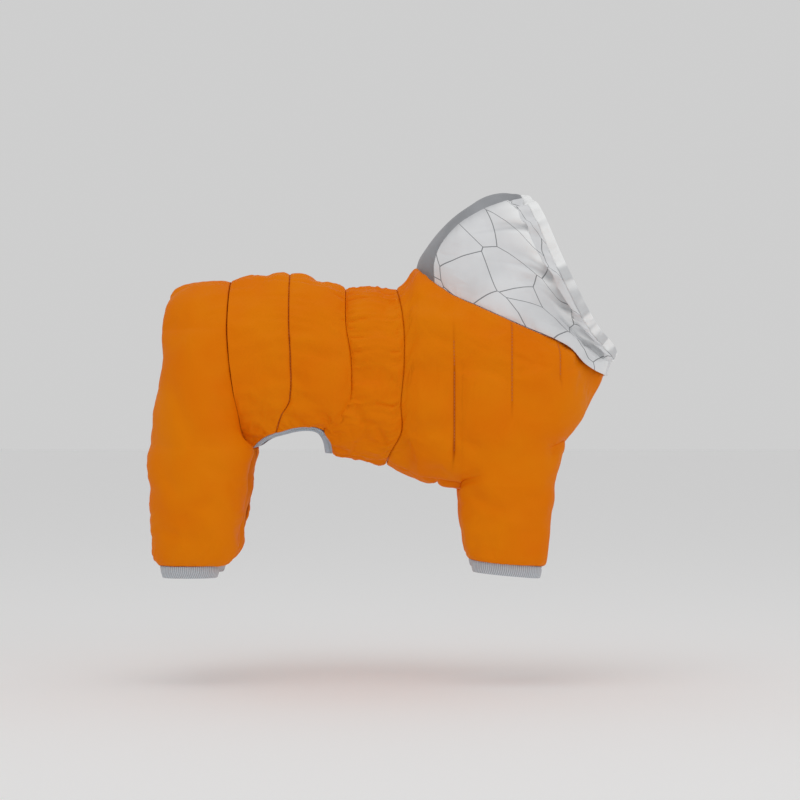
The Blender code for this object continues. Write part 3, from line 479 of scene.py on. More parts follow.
def roundSection(count, flatness):
    # outline of a folded band: a rounded oblong from 0 to 1 across, squarer for a lower flatness
    angle = np.arange(count) * 2 * pi / count
    across = 0.5 - 0.5 * np.sign(np.cos(angle)) * np.abs(np.cos(angle)) ** flatness
    return np.stack([across, 0.5 * np.sign(np.sin(angle)) * np.abs(np.sin(angle)) ** 0.75], -1)


def barPoints(middle, side, up, size, sides):
    # rings of small rounded bars: each row of middles gets circles in the plane of side and up, sized along it
    angle = np.arange(sides) * 2 * pi / sides
    across, out = np.cos(angle)[None, None, :, None], np.sin(angle)[None, None, :, None]
    return middle[:, :, None] + (side[:, None, None] * across + up[:, None, None] * out) * size[None, :, None, None]


stitchForm = dict(at=[-0.5, -0.42, 0.42, 0.5], size=[0.35, 1.0, 1.0, 0.35], sides=5, proud=0.35,
                  caps=[[3, 2, 1, 0], [15, 16, 17, 18]], tips=[[4, 3, 0], [15, 18, 19]])
wideStitch = dict(long=2.6, pitch=3.6, radius=0.32)
shortStitch = dict(long=2.2, pitch=3.2, radius=0.28)


def stitchRow(name, lines, stitch, material, slot):
    # thread stitches laid along lines of (points, normals): one small rounded bar each, half sunk in the cloth
    form, long, radius = stitchForm, stitch["long"], stitch["radius"]
    middles, ways, ups = [], [], []
    for points, normals in lines:
        run = runOf(points)
        at = np.arange(stitch["pitch"], run[-1] - stitch["pitch"] / 2, stitch["pitch"])
        middles.append(pick(points, run, at))
        ways.append(unit(pick(points, run, at + long / 2) - pick(points, run, at - long / 2)))
        ups.append(unit(pick(normals, run, at)))
    middle, way, up = (np.concatenate(rows) for rows in (middles, ways, ups))
    side = unit(np.cross(way, up))
    up = np.cross(side, way)
    middle = middle[:, None] + way[:, None] * (np.array(form["at"]) * long)[None, :, None]
    points = barPoints(middle, side, up, np.array(form["size"]) * radius, form["sides"])
    points = points + up[:, None, None] * radius * form["proud"]
    first = np.arange(len(middle))[:, None, None] * len(form["at"]) * form["sides"]
    body = gridFaces(len(form["at"]), form["sides"], ring=True)
    faces = [(np.array(corners)[None] + first) for corners in (body, form["caps"], form["tips"])]
    mesh = bpy.data.meshes.new(name)
    mesh.from_pydata((points.reshape(-1, 3) * mm).tolist(), [],
                     [face for group in faces for face in group.reshape(-1, group.shape[-1]).tolist()])
    mesh.materials.append(material)
    mesh.shade_smooth()
    return settle(addObject(name, mesh), slot)


# materials

def addNode(tree, kind, inputs=(), out=0, **settings):
    # one node with its settings; inputs, by name or in order, are numbers or other nodes' outputs; returns one
    # output
    node = tree.nodes.new("ShaderNode" + kind)
    for key, value in settings.items():
        setattr(node, key, value)
    for key, value in inputs.items() if isinstance(inputs, dict) else enumerate(inputs):
        if isinstance(value, bpy.types.NodeSocket):
            tree.links.new(value, node.inputs[key])
        elif value is not None:
            node.inputs[key].default_value = value
    return node.outputs[out]


def newMaterial(name, numbers):
    # a material with its shader's fixed numbers set, and a way to add nodes to its tree
    material = bpy.data.materials.new(name)
    material.use_nodes = True
    tree = material.node_tree
    shader = tree.nodes["Principled BSDF"]
    for key, value in numbers.items():
        shader.inputs[key].default_value = value

    def finish(**links):
        for key, output in links.items():
            tree.links.new(output, shader.inputs[key.replace("_", " ")])
        return material
    return partial(addNode, tree), finish


def perMetre(size):
    # texture scale for spots of a size in millimetres
    return 1 / (size * mm)


stripe = 2 * pi / 20                 # a wave texture's bands are this far apart at scale 1


def nylonTaffeta(name, cloth):
    # nylon taffeta, plain woven and calendered, over wadding: a soft dull glow, a crackle of fine creases, and a
    # darker line in each seam, partly the thread and pinched cloth and partly painted shade
    add, finish = newMaterial(name, {"IOR": 1.5, "Specular IOR Level": cloth["gloss"], "Sheen Weight": 0.08,
                                     "Sheen Roughness": 0.5, "Sheen Tint": linear(cloth["sheen"])})
    flat, solid = add("TexCoord", out="UV"), add("TexCoord", out="Object")
    # threads are 0.3 mm apart in the real cloth and are drawn 1.2 mm apart, so that a close view shows them
    warp = add("TexWave", dict(Vector=flat, Scale=stripe * perMetre(1.2)), "Fac", bands_direction="X")
    weft = add("TexWave", dict(Vector=flat, Scale=stripe * perMetre(1.2)), "Fac", bands_direction="Y")
    weave = add("Math", (warp, weft), operation="MULTIPLY")
    cloudy = add("MapRange", (add("TexNoise", dict(Vector=solid, Scale=perMetre(70), Detail=2.0)), 0.35, 0.68))
    tone = add("Mix", {0: cloudy, 6: linear(cloth["body"]), 7: linear(cloth["patch"])}, 2, data_type="RGBA")
    # the seam's darker line: partly thread and pinched cloth, partly painted shade in the seam's groove
    seam = add("Attribute", out="Fac", attribute_name="seamLineShade")
    tone = add("Mix", {0: seam, 6: tone, 7: linear(cloth["seam"])}, 2, data_type="RGBA")
    # painted shade: a faint darkening between the woven threads
    shadedValley = add("MapRange", (weave, 0.0, 1.0, 0.05, 0.0))
    tone = add("Mix", {0: shadedValley, 6: tone, 7: linear("#000000")}, 2, data_type="RGBA")
    rough = add("MapRange", (add("TexNoise", dict(Vector=solid, Scale=perMetre(24), Detail=2.0)), 0.3, 0.7,
                             0.5, 0.62))
    wear = add("TexNoise", dict(Vector=solid, Scale=perMetre(11), Detail=3.0))
    creased = add("Bump", dict(Height=wear, Distance=0.9 * mm, Strength=0.32))
    woven = add("Bump", dict(Height=weave, Distance=0.06 * mm, Strength=0.5, Normal=creased))
    return finish(Base_Color=tone, Roughness=rough, Normal=woven)


def beadedCloth(name, cloth):
    # reflective cloth: glass beads a tenth of a millimetre wide bonded to a polyester ground, pale and dull,
    # printed with a plain net of thin lines; a painted highlight makes it paler towards the face edge, and painted
    # shade darkens the valleys of its folds
    add, finish = newMaterial(name, {"IOR": 1.5, "Specular IOR Level": 0.3})
    flat, solid = add("TexCoord", out="UV"), add("TexCoord", out="Object")
    cells = add("TexVoronoi", dict(Vector=flat, Scale=perMetre(cloth["cell"]), Randomness=1.0), "Distance",
                voronoi_dimensions="2D", feature="DISTANCE_TO_EDGE")
    # lines about 1.1 mm wide on cells of 58 mm
    net = add("MapRange", (cells, 0.006, 0.014, cloth["print"], 0.0))
    # beads are 0.1 mm wide and are drawn 0.9 mm wide, so that a close view shows their grain
    beads = add("TexNoise", dict(Vector=solid, Scale=perMetre(0.9), Detail=1.0))
    cloudy = add("MapRange", (add("TexNoise", dict(Vector=solid, Scale=perMetre(46), Detail=2.0)), 0.35, 0.7))
    ground = add("Mix", {0: cloudy, 6: linear(cloth["body"]), 7: linear(cloth["patch"])}, 2, data_type="RGBA")
    # painted highlight: the ground is mixed towards a paler tone near the face edge, standing in for light falling
    # there
    paintedHighlight = add("Attribute", out="Fac", attribute_name="paintedHighlight")
    ground = add("Mix", {0: paintedHighlight, 6: ground, 7: linear(cloth["paintedHighlight"])}, 2, data_type="RGBA")
    # painted shade: the ground is darkened towards a shadow tone in fold valleys, as strong as shade says
    shadowTone = add("MapRange", (add("Attribute", out="Fac", attribute_name="shadedValley"), 0.0, 1.0, 0.0, cloth["shade"]))
    ground = add("Mix", {0: shadowTone, 6: ground, 7: linear(cloth["shadowTone"])}, 2, data_type="RGBA")
    tone = add("Mix", {0: net, 6: ground, 7: linear(cloth["line"])}, 2, data_type="RGBA")
    rough = add("MapRange", (net, 0.0, 1.0, 0.48, 0.62))
    wear = add("TexNoise", dict(Vector=solid, Scale=perMetre(15), Detail=2.0))
    creased = add("Bump", dict(Height=wear, Distance=0.8 * mm, Strength=0.25))
    beaded = add("Bump", dict(Height=beads, Distance=0.05 * mm, Strength=0.45, Normal=creased))
    return finish(Base_Color=tone, Roughness=rough, Normal=beaded)


def ribKnit(name, cloth):
    # rib knit in cotton with elastane: matte, ridged across the band, with a fine loop between the ribs; the ribs'
    # lighter ridges and darker valleys are painted light and shade on one yarn
    add, finish = newMaterial(name, {"Roughness": 0.88, "IOR": 1.46, "Specular IOR Level": 0.2, "Sheen Weight": 0.3,
                                     "Sheen Roughness": 0.55})
    flat, solid = add("TexCoord", out="UV"), add("TexCoord", out="Object")
    ribs = add("TexWave", dict(Vector=flat, Scale=stripe * perMetre(cloth["pitch"])), "Fac", bands_direction="X")
    loops = add("TexWave", dict(Vector=flat, Scale=stripe * perMetre(cloth["pitch"] * 0.55)), "Fac",
                bands_direction="Y")
    fuzz = add("TexNoise", dict(Vector=solid, Scale=perMetre(1.6), Detail=3.0))
    ridge, shadedValley = linear(cloth["ridge"]), linear(cloth["shadedValley"])
    # painted light and shade: ridge and valley tones of the one yarn mixed along the ribs
    tone = add("Mix", {0: add("MapRange", (ribs, 0.05, 0.8)), 6: shadedValley, 7: ridge}, 2, data_type="RGBA")
    tone = add("Mix", {0: add("MapRange", (fuzz, 0.3, 0.75, 0.0, 0.35)), 6: tone, 7: shadedValley}, 2, data_type="RGBA")
    height = add("Math", (loops, 0.3, ribs), operation="MULTIPLY_ADD")
    fuzzy = add("Bump", dict(Height=fuzz, Distance=0.25 * mm, Strength=0.35))
    ribbed = add("Bump", dict(Height=height, Distance=0.45 * mm, Strength=0.8, Normal=fuzzy))
    return finish(Base_Color=tone, Normal=ribbed)


def sewingThread(name, colour):
    # spun polyester thread: a dull twisted yarn, with a painted highlight mixed towards white in patches along it
    add, finish = newMaterial(name, {"Roughness": 0.65, "IOR": 1.5, "Specular IOR Level": 0.3})
    twist = add("TexNoise", dict(Vector=add("TexCoord", out="Object"), Scale=perMetre(0.8), Detail=1.0))
    # painted highlight: patches mixed towards white along the twist
    light = add("MapRange", (twist, 0.0, 1.0, 0.0, 0.14))
    tone = add("Mix", {0: light, 6: linear(colour), 7: linear("#ffffff")}, 2, data_type="RGBA")
    return finish(Base_Color=tone, Normal=add("Bump", dict(Height=twist, Distance=0.1 * mm, Strength=0.5)))


def wovenTape(name, cloth):
    # polyester zip tape: a close twill, dull, its ribs leaning across the tape, painted lighter on their ridges and
    # darker between them as light and shade
    add, finish = newMaterial(name, {"Roughness": 0.75, "IOR": 1.5, "Specular IOR Level": 0.25,
                                     "Sheen Weight": 0.1})
    lean = add("Mapping", dict(Vector=add("TexCoord", out="UV"), Rotation=(0, 0, 0.9)))
    twill = add("TexWave", dict(Vector=lean, Scale=stripe * perMetre(1.1)), "Fac", bands_direction="X")
    # painted light and shade: ridge and valley tones mixed along the twill
    tone = add("Mix", {0: add("MapRange", (twill, 0.1, 0.9)), 6: linear(cloth["shadedValley"]),
                       7: linear(cloth["ridge"])}, 2,
               data_type="RGBA")
    return finish(Base_Color=tone, Normal=add("Bump", dict(Height=twill, Distance=0.15 * mm, Strength=0.7)))


def platedZinc(name, colour):
    # die-cast zinc with a dark nickel plate, barrel polished: satin, with a faint orange-peel surface, paler where
    # it rubs
    add, finish = newMaterial(name, {"Metallic": 0.95})
    solid = add("TexCoord", out="Object")
    wear = add("TexNoise", dict(Vector=solid, Scale=perMetre(2.2), Detail=3.0))
    tone = add("Mix", {0: add("MapRange", (wear, 0.45, 0.8)), 6: linear(colour), 7: linear("#8a8c90")}, 2,
               data_type="RGBA")
    peel = add("TexNoise", dict(Vector=solid, Scale=perMetre(0.8), Detail=2.0))
    return finish(Base_Color=tone, Roughness=add("MapRange", (wear, 0.3, 0.7, 0.28, 0.44)),
                  Normal=add("Bump", dict(Height=peel, Distance=0.05 * mm, Strength=0.4)))


def coilNylon(name, colour):
    # nylon zip coil: smooth extruded filament with a soft gloss, a little uneven in colour
    add, finish = newMaterial(name, {"Roughness": 0.38, "IOR": 1.53, "Specular IOR Level": 0.45})
    cloudy = add("TexNoise", dict(Vector=add("TexCoord", out="Object"), Scale=perMetre(5), Detail=2.0))
    shade = add("MapRange", (cloudy, 0.3, 0.7))
    return finish(Base_Color=add("Mix", {0: shade, 6: linear(colour), 7: linear("#c85a04")}, 2, data_type="RGBA"))


# the seam tone is partly the thread and pinched cloth, partly painted shade in the seam's groove
orangeShell = dict(body="#f28504", patch="#f07b02", seam="#b04a00", sheen="#ff8a1c", gloss=0.05)
# pale beaded cloth: its paler tone near the face edge is a painted highlight, its darker tone in fold valleys
# painted shade
paleBead = dict(body="#ebecee", patch="#dfe0e2", paintedHighlight="#fcfdfd", shadowTone="#a8aaae", line="#5c5f63", cell=58)
# painted shade: the crown strip is the same pale beaded cloth, its darker tones standing in for the shade it lies
# in
shadedBead = dict(paleBead, body="#a0a2a6", patch="#8e9094", paintedHighlight="#a0a2a6", shadowTone="#7c7e82")
finishes = dict(
    shell=nylonTaffeta("nylon_taffeta_orange", orangeShell),
    # shade is how strong the painted shade in the fold valleys is
    reflective=beadedCloth("glass_bead_reflective_cloth", dict(paleBead, shade=0.6, print=0.85)),
    reflectivePlain=beadedCloth("glass_bead_reflective_cloth_plain", dict(paleBead, shade=0.55, print=0.0)),
    reflectiveBack=beadedCloth("glass_bead_reflective_cloth_crown", dict(shadedBead, shade=0.8, print=0.0)),
    cuff=ribKnit("rib_knit_light_grey", dict(ridge="#d6dbe1", shadedValley="#a6acb3", pitch=2.4)),
    binding=ribKnit("rib_knit_mid_grey", dict(ridge="#c8dbea", shadedValley="#97a7b5", pitch=2.0)),
    thread=sewingThread("polyester_thread_orange", "#c86206"),
    paleThread=sewingThread("polyester_thread_grey", "#8d9094"),
    hoodThread=sewingThread("polyester_thread_pale", "#c3c5c8"),
    tape=wovenTape("zip_tape_twill_orange", dict(ridge="#e87a08", shadedValley="#b95c02")),
    coil=coilNylon("zip_coil_nylon", "#e07408"),
    metal=platedZinc("dark_nickel_plate", "#3a3b3e"))
print("materials made")


# relief of the padded pieces

def stations(lines, count, pull=0.55):
    # about count shares from the first line to the last, closer together beside every line for a greater pull
    made = [np.array([lines[0]])]
    total = lines[-1] - lines[0]
    for low, high in zip(lines[:-1], lines[1:]):
        s = np.linspace(0, 1, max(3, int(round(count * (high - low) / total))) + 1)[1:]
        s = (1 - pull) * s + pull * (0.5 - 0.5 * np.cos(pi * s))
        made.append(low + (high - low) * s)
    return np.concatenate(made)


# what all padded pieces share: wall and crackle in millimetres, crackle's cells along and across, how much of the
# puckers shows, how far they reach past the swelling beside a seam, and the width of the dark line in a seam,
# which is partly painted shade
padding = dict(wall=2.2, crackle=0.2, crackleX=(15, 40), crackleZ=(19, 60), pucker=0.5, past=1.25, seamLineShade=0.9)


def clothField(base, cut):
    # how far the cloth stands off its seams, past its swell: slow waves, a fine crackle and the creases
    x, z = base[..., 0], base[..., 2]
    seed, form = cut["seeds"][1], padding
    field = noise(x / cut["wave"], z / cut["wave"] + 7, seed) * cut["roll"]
    for line, width, depth in cut.get("creases", []):
        field = field + crease(base, line, width, depth)
    (xAlong, xAcross), (zAlong, zAcross) = form["crackleX"], form["crackleZ"]
    return field + billow(x / xAlong + z / xAcross, z / zAlong - x / zAcross, seed + 5) * form["crackle"]


def sewnEdges(base, cut, ring=False, lines=()):
    # swelling, puckers and dark seam lines, partly painted shade, beside a piece's edges, each with (reach, wave,
    # height), and beside its quilting lines, each with (distance from it, length along it, reach, wave, height,
    # strength)
    over, down = gridLengths(base, ring)
    over, seed = over[:, :base.shape[1]], cut["seeds"][0]
    swell = np.ones(base.shape[:2])
    pucker, mark = np.zeros(base.shape[:2]), np.zeros(base.shape[:2])
    sides = dict(first=(over, down), last=(over[:, -1:] - over, down), top=(down, over),
                 foot=(down[-1:] - down, over))
    for n, (side, (reach, wave, height)) in enumerate(cut["edges"].items()):
        away, run = sides[side]
        kept, seen = cut.get("kept", {}).get(side, 0.0), cut.get("seen", {}).get(side, 1.0)
        swell = swell * (kept + (1 - kept) * soften(away, 1, reach))
        wrap = int(round(float(run.max()) / wave)) if ring else None
        pucker = pucker + height * puckers(run, away, seed + 11 * n, wave, padding["past"] * reach, wrap)
        mark = np.maximum(mark, seen * np.exp(-(away / padding["seamLineShade"]) ** 2))
    for n, (away, run, reach, wave, height, strength) in enumerate(lines):
        swell = swell * (1 - strength * (1 - soften(away, 1, reach)))
        ridges = puckers(run, away, seed + 131 * (n + 1), wave, padding["past"] * reach)
        pucker = pucker + height * strength * ridges
        mark = np.maximum(mark, strength * np.exp(-(away / padding["seamLineShade"]) ** 2))
    return swell, pucker, mark


# rump and outer hind leg, cut in one

hindPlaces = dict(tuck=1.2, tuckFrom=150, tuckTo=170, legFrom=180, legTo=200, tailDrop=10, tailFrom=-70, tailTo=9)


def hindFront(z, turn):
    # front edge: on the rump seam above the opening, on the leg below it
    at = hindPlaces
    x = seamX(seams["rear"], turn)
    onTrunk = trunk(x - seamGap - at["tuck"] * ease(-z, at["tuckFrom"], at["tuckTo"]), turn)
    leg = np.stack([through(hindForm, "front", z, key="z"), places["legSeam"] + 0 * z, z], axis=-1)
    share = ease(-z, at["legFrom"], at["legTo"])[..., None]
    point = onTrunk * (1 - share) + leg * share
    point[..., 2] = np.where(z < footOfSeam, z, onTrunk[..., 2])
    return point


def hindRear(z):
    # rear edge, down the middle of the inner leg; its top is drawn down to where the tail comes out
    low = z - hindPlaces["tailDrop"] * ease(z, hindPlaces["tailFrom"], hindPlaces["tailTo"])
    return np.stack([through(hindForm, "rear", low, key="z"), through(hindForm, "seam", low, key="z"), low],
                    axis=-1)


def hindSurface(u, z, front, inner):
    # half superellipse at each height, from the front edge round the outside or the inside to the rear edge
    front, rear = front[:, None], hindRear(z)[:, None]
    reach = through(hindForm, "into" if inner else "out", z, key="z")[:, None]
    reach = np.minimum(reach, rear[..., 1]) if inner else np.maximum(reach, front[..., 1])
    rise = np.clip((front[..., 1] - rear[..., 1]) / np.maximum(reach - rear[..., 1], 1e-6), 0, 1)
    start = np.zeros_like(rise) if inner else np.arcsin(rise)
    angle = start + (pi - start) * u[None]
    stretch = (front[..., 0] - rear[..., 0]) / (1 + np.cos(start))
    x = rear[..., 0] + stretch * (1 + np.cos(angle))
    part = (x - rear[..., 0]) / (front[..., 0] - rear[..., 0])
    if inner:
        level = rear[..., 1] + (front[..., 1] - rear[..., 1]) * part
        y = level + (np.minimum(reach, level) - level) * np.sin(angle) ** 0.85
    else:
        y = rear[..., 1] + (reach - rear[..., 1]) * np.sin(angle) ** 0.9
    return np.stack([x, y, front[..., 2] * part + rear[..., 2] * (1 - part)], axis=-1)


def levelEdges(normal, z):
    # normals of a leg's two long seams lie fore and aft, so that both walls meet there
    normal[z < footOfSeam - 1, 0, 1] = 0
    normal[z < footOfSeam + 1, -1, 1] = 0
    return unit(normal)


rearEnd, waistEnd = seamEnd(seams["rear"]), seamEnd(seams["waist"])
footOfSeam = float(trunk(seamX(seams["rear"], rearEnd), rearEnd)[2])
rumpCut = dict(
    cells=(88, 76, 74), seeds=(11, 21), swell=6.0, wave=52, roll=1.3, join=0.1, excess=0.04, cap=4.0, smooth=10,
    fill=0.45, edges=dict(first=(22, 10, 1.5), last=(26, 12, 1.2), top=(9, 11, 1.3), foot=(17, 8.5, 1.7)),
    creases=[(((-222, -96), (-193, -196)), 7, 1.6), (((-243, -150), (-214, -236)), 8, 1.2),
             (((-176, -236), (-214, -262)), 7, 1.1), (((-246, -268), (-196, -286)), 6, 1.0),
             (((-160, -214), (-190, -196)), 6, 1.1), (((-208, -40), (-226, -92)), 8, 0.9)])
innerLegCut = dict(
    cells=(56, 64), seeds=(31, 33), swell=3.5, wave=44, roll=1.0, excess=0.05, cap=4.0, fill=0.35,
    edges=dict(first=(14, 10, 0.9), last=(14, 10, 0.9), top=(12, 10, 0.8), foot=(14, 8.5, 1.3)))


def legRows(upper, lower):
    # heights of a hind leg's rows and where each starts on the rump seam: upper rows along the seam, lower ones
    # down to the hem, closer together at the hem
    turns = np.linspace(0, 1, upper) * rearEnd
    heights = trunk(seamX(seams["rear"], turns), turns)[:, 2] if upper > 1 else np.array([footOfSeam])
    down = 1 - (1 - np.linspace(0, 1, lower + 1)[1:]) ** 1.4
    z = np.concatenate([heights, footOfSeam + (places["hemHind"] - footOfSeam) * down])
    turn = np.concatenate([turns if upper > 1 else [rearEnd], np.full(len(z) - len(heights), rearEnd)])
    return z, turn, len(heights)


def makeRump(cut):
    u = stations([0, 1], cut["cells"][0])
    z, turn, upper = legRows(cut["cells"][1], cut["cells"][2])
    base = hindSurface(u, z, hindFront(z, turn), inner=False)
    normal = gridNormal(base)
    onTrunk = trunkNormal(seamX(seams["rear"], turn[:upper]), turn[:upper])[:, None]
    share = (1 - ease(u, 0, cut["join"]))[None, :, None]
    normal[:upper] = onTrunk * share + normal[:upper] * (1 - share)
    normal = levelEdges(normal, z)
    base[..., 1] += seamGap / 2 * (z < footOfSeam + 1)[:, None]
    swell, pucker, mark = sewnEdges(base, cut)
    out = swell * (cut["swell"] + clothField(base, cut)) + padding["pucker"] * pucker
    outer, inner = base + normal * out[..., None], base - normal * padding["wall"]
    outer = blown("rump", outer, normal, sewnRound(out.shape), cut)
    paddedPair("rumpShell", "rump", offMiddle(outer), offMiddle(inner), mark)


def makeInnerLeg(cut):
    u = stations([0, 1], cut["cells"][0])
    z, turn, _ = legRows(1, cut["cells"][1])
    base = hindSurface(u, z, hindFront(z, turn), inner=True)
    normal = levelEdges(gridNormal(base, -1), z)
    normal[0, 0] = trunkNormal(seamX(seams["rear"], rearEnd), rearEnd)
    base[..., 1] -= 1.5 * seamGap
    swell, pucker, mark = sewnEdges(base, cut)
    out = swell * (cut["swell"] + clothField(base, cut)) + padding["pucker"] * pucker
    outer = blown("inner leg", base + normal * out[..., None], normal, sewnRound(out.shape), cut)
    paddedPair("innerLeg", "inner_leg", outer, base - normal * padding["wall"], mark)


makeRump(rumpCut)
makeInnerLeg(innerLegCut)
print("hind legs made")

# loin: two rolls between the rump seam and the waist seam, with a quilting line that is deeper below quiltFrom
loinCut = dict(
    cells=(104, 92), seeds=(41, 43), swell=6.0, wave=38, roll=1.1, excess=0.07, cap=6.0, fill=0.6,
    quilt=0.53, quiltLine=(22, 9, 1.5), quiltTop=0.75, quiltFrom=20, quiltTo=60,
    seen=dict(last=0.2), kept=dict(last=0.35),
    edges=dict(first=(24, 10, 1.5), last=(24, 7, 2.6), top=(18, 10, 1.3), foot=(13, 8, 1.2)),
    creases=[(((-62, -128), (-44, -152)), 6, 1.4), (((-128, -146), (-104, -158)), 5, 1.0),
             (((-140, -70), (-112, -78)), 6, 0.7)])


def makeLoin(cut):
    share = cut["quilt"]
    u, v = np.meshgrid(stations([0, share, 1], cut["cells"][0]), stations([0, 1], cut["cells"][1]))
    rear, front = v[:, :1] * rearEnd, v[:, :1] * waistEnd
    left, right = seamX(seams["rear"], rear) + seamGap / 2, seamX(seams["waist"], front) - seamGap / 2
    middle = seamX(seams["quilt"], (rear + front) / 2)
    x = np.where(u < share, left + (middle - left) * u / share,
                 middle + (right - middle) * (u - share) / (1 - share))
    turn = v * turnAt(x, through(seams["arch"], "z", x))
    turn[:, 0], turn[:, -1] = rear[:, 0], front[:, 0]
    base, normal = trunk(x, turn), trunkNormal(x, turn)
    over, down = gridLengths(base)
    at = np.argmin(np.abs(u[0] - share))
    strength = cut["quiltTop"] + (1 - cut["quiltTop"]) * ease(down, cut["quiltFrom"], cut["quiltTo"])
    quilting = (np.abs(over - over[:, at:at + 1]), down, *cut["quiltLine"], strength)
    swell, pucker, mark = sewnEdges(base, cut, lines=[quilting])
    # the rear corner beside the opening lies flat, as the inner leg starts under it
    foot = 1 - ease(v, 0.7, 1) * (1 - ease(u, 0, 0.35))
    out = swell * foot * (cut["swell"] + clothField(base, cut)) + padding["pucker"] * pucker * (0.3 + 0.7 * foot)
    held = sewnRound(out.shape)
    held[:, at] = True
    outer = blown("loin", base + normal * out[..., None], normal, held, cut)
    paddedPair("loinShell", "loin", outer, base - normal * padding["wall"], mark)
    return [(outer[4:-4, at], normal[4:-4, at])]


stitchLines = makeLoin(loinCut)
print("loin made")

# waist: elasticated and ruched between two gathered seams
waistCut = dict(
    cells=(60, 150), seeds=(51, 53), swell=5.0, wave=30, roll=0.9, excess=0.13, cap=6.0, smooth=1, fill=0.35,
    seen=dict(first=0.2, last=0.35), kept=dict(first=0.42, last=0.35),
    edges=dict(first=(20, 7, 3.0), last=(20, 7.5, 2.9), top=(12, 9, 0.9)),
    creases=[(((-14, -150), (32, -153)), 4.5, 2.0), (((-22, -174), (20, -178)), 5, 1.2),
             (((-20, -104), (8, -101)), 4, 0.8)])


def makeWaist(cut):
    low = float(lowTurn(places["bellyRear"], 0))
    u, v = np.meshgrid(stations([0, 1], cut["cells"][0]), stations([0, waistEnd, low, 1], cut["cells"][1], 0.3))
    rear, front = seamX(seams["waist"], v), seamX(seams["chest"], v)
    x = rear + seamGap / 2 + (front - rear - seamGap) * u
    base, normal = trunk(x, v), trunkNormal(x, v)
    swell, pucker, mark = sewnEdges(base, cut)
    out = swell * (cut["swell"] + clothField(base, cut)) + padding["pucker"] * pucker
    outer, inner = base + normal * out[..., None], base - normal * padding["wall"]
    outer = blown("waist", outer, normal, sewnRound(out.shape), cut)
    outer[-1, :, 1] = inner[-1, :, 1] = 0
    paddedPair("waistShell", "waist", offMiddle(outer), offMiddle(inner), mark)


makeWaist(waistCut)
print("waist made")

# foreleg sleeve, from the armhole to the gathered hem; tuck is how far its top is drawn in under the chest's edge
sleeveCut = dict(
    cells=(136, 78), seeds=(81, 83), swell=4.5, wave=54, roll=1.4, armEdge=0.9, armReach=18, calmReach=14,
    tuck=0.003, join=0.4, fillTurn=0.35, excess=0.035, cap=4.0, smooth=6, fill=0.5, edges=dict(foot=(6, 8.5, 1.5)),
    creases=[(((112, -236), (150, -250)), 8, 1.5), (((206, -216), (172, -238)), 8, 1.2),
             (((108, -270), (142, -262)), 7, 1.0), (((202, -262), (168, -280)), 7, 1.1),
             (((128, -204), (170, -214)), 9, 1.0), (((112, -296), (150, -300)), 6, 0.8)])

# cloth beside the armhole, filled out level from the chest's widest height down to the sleeve's; soft rounds the
# change, waves are (height, cell along, cell up, seed)
armFillCut = dict(high=-118.0, low=-240.0, soft=4.0, wave=(1.4, 34, 28, 201), fine=(0.5, 15, 18, 203),
                  rear=(104, 128), front=(190, 212), fade=0.15)


def armFill(points, share=1.0):
    # points beside the armhole moved out to a line from the chest's width to the sleeve's, with slow waves
    cut = armFillCut
    x, y, z = np.moveaxis(points, -1, 0)
    front, rear, out, into = (
        float(through(foreForm, k, cut["low"], key="z")) for k in ("front", "rear", "out", "into"))
    ahead = (x - (front + rear) / 2) / (front - rear) * 2
    leg = (out + into) / 2 + (out - into) / 2 * np.clip(1 - ahead ** 2, 0, 1) ** 0.425 + sleeveCut["swell"]
    chest = through(trunkForm, "half", x) + chestCut["swell"]
    down = np.clip((cut["high"] - z) / (cut["high"] - cut["low"]), 0, 1)
    level = chest * (1 - down) + leg * down
    for grain, (height, wide, tall, seed) in ((noise, cut["wave"]), (billow, cut["fine"])):
        level = level + height * grain(x / wide, z / tall, seed)
    short = level - cut["soft"] / 2 - y
    move = (short + np.sqrt(short ** 2 + cut["soft"] ** 2)) / 2
    near = ease(x, *cut["rear"]) * (1 - ease(x, *cut["front"])) * ease(down, 0, cut["fade"])
    near = near * (1 - ease(down, 1 - cut["fade"], 1))
    return points + np.stack([0 * x, move * near * share, 0 * x], axis=-1)


# chest side: quilting lines (x, top, foot, depth) that fade out; the armhole seam lies flush in the swelling
chestCut = dict(
    cells=(120, 88), seeds=(61, 63), swell=5.5, wave=46, roll=1.4, excess=0.06, cap=5.0, fill=0.55, rearShare=0.1,
    armEdge=0.72, armReach=15, calmReach=14, throatReach=22, frontSink=0.45,
    seen=dict(first=0.35, top=0.5), kept=dict(first=0.32), edges=dict(first=(15, 8, 2.7), top=(24, 11, 1.2)),
    creases=[(((206, -146), (232, -153)), 8, 1.6), (((54, -196), (80, -205)), 6, 1.4),
             (((60, -150), (84, -166)), 7, 1.0), (((118, -148), (142, -170)), 8, 0.9),
             (((176, -120), (202, -136)), 8, 0.8), (((226, -104), (246, -118)), 6, 0.9)],
    quiltLine=(19, 10, 1.3),
    lines=[(93, -86, -196, 0.95), (93, -52, -100, 0.3), (157.5, -36, -143, 0.45), (210, -58, -112, 0.35)])


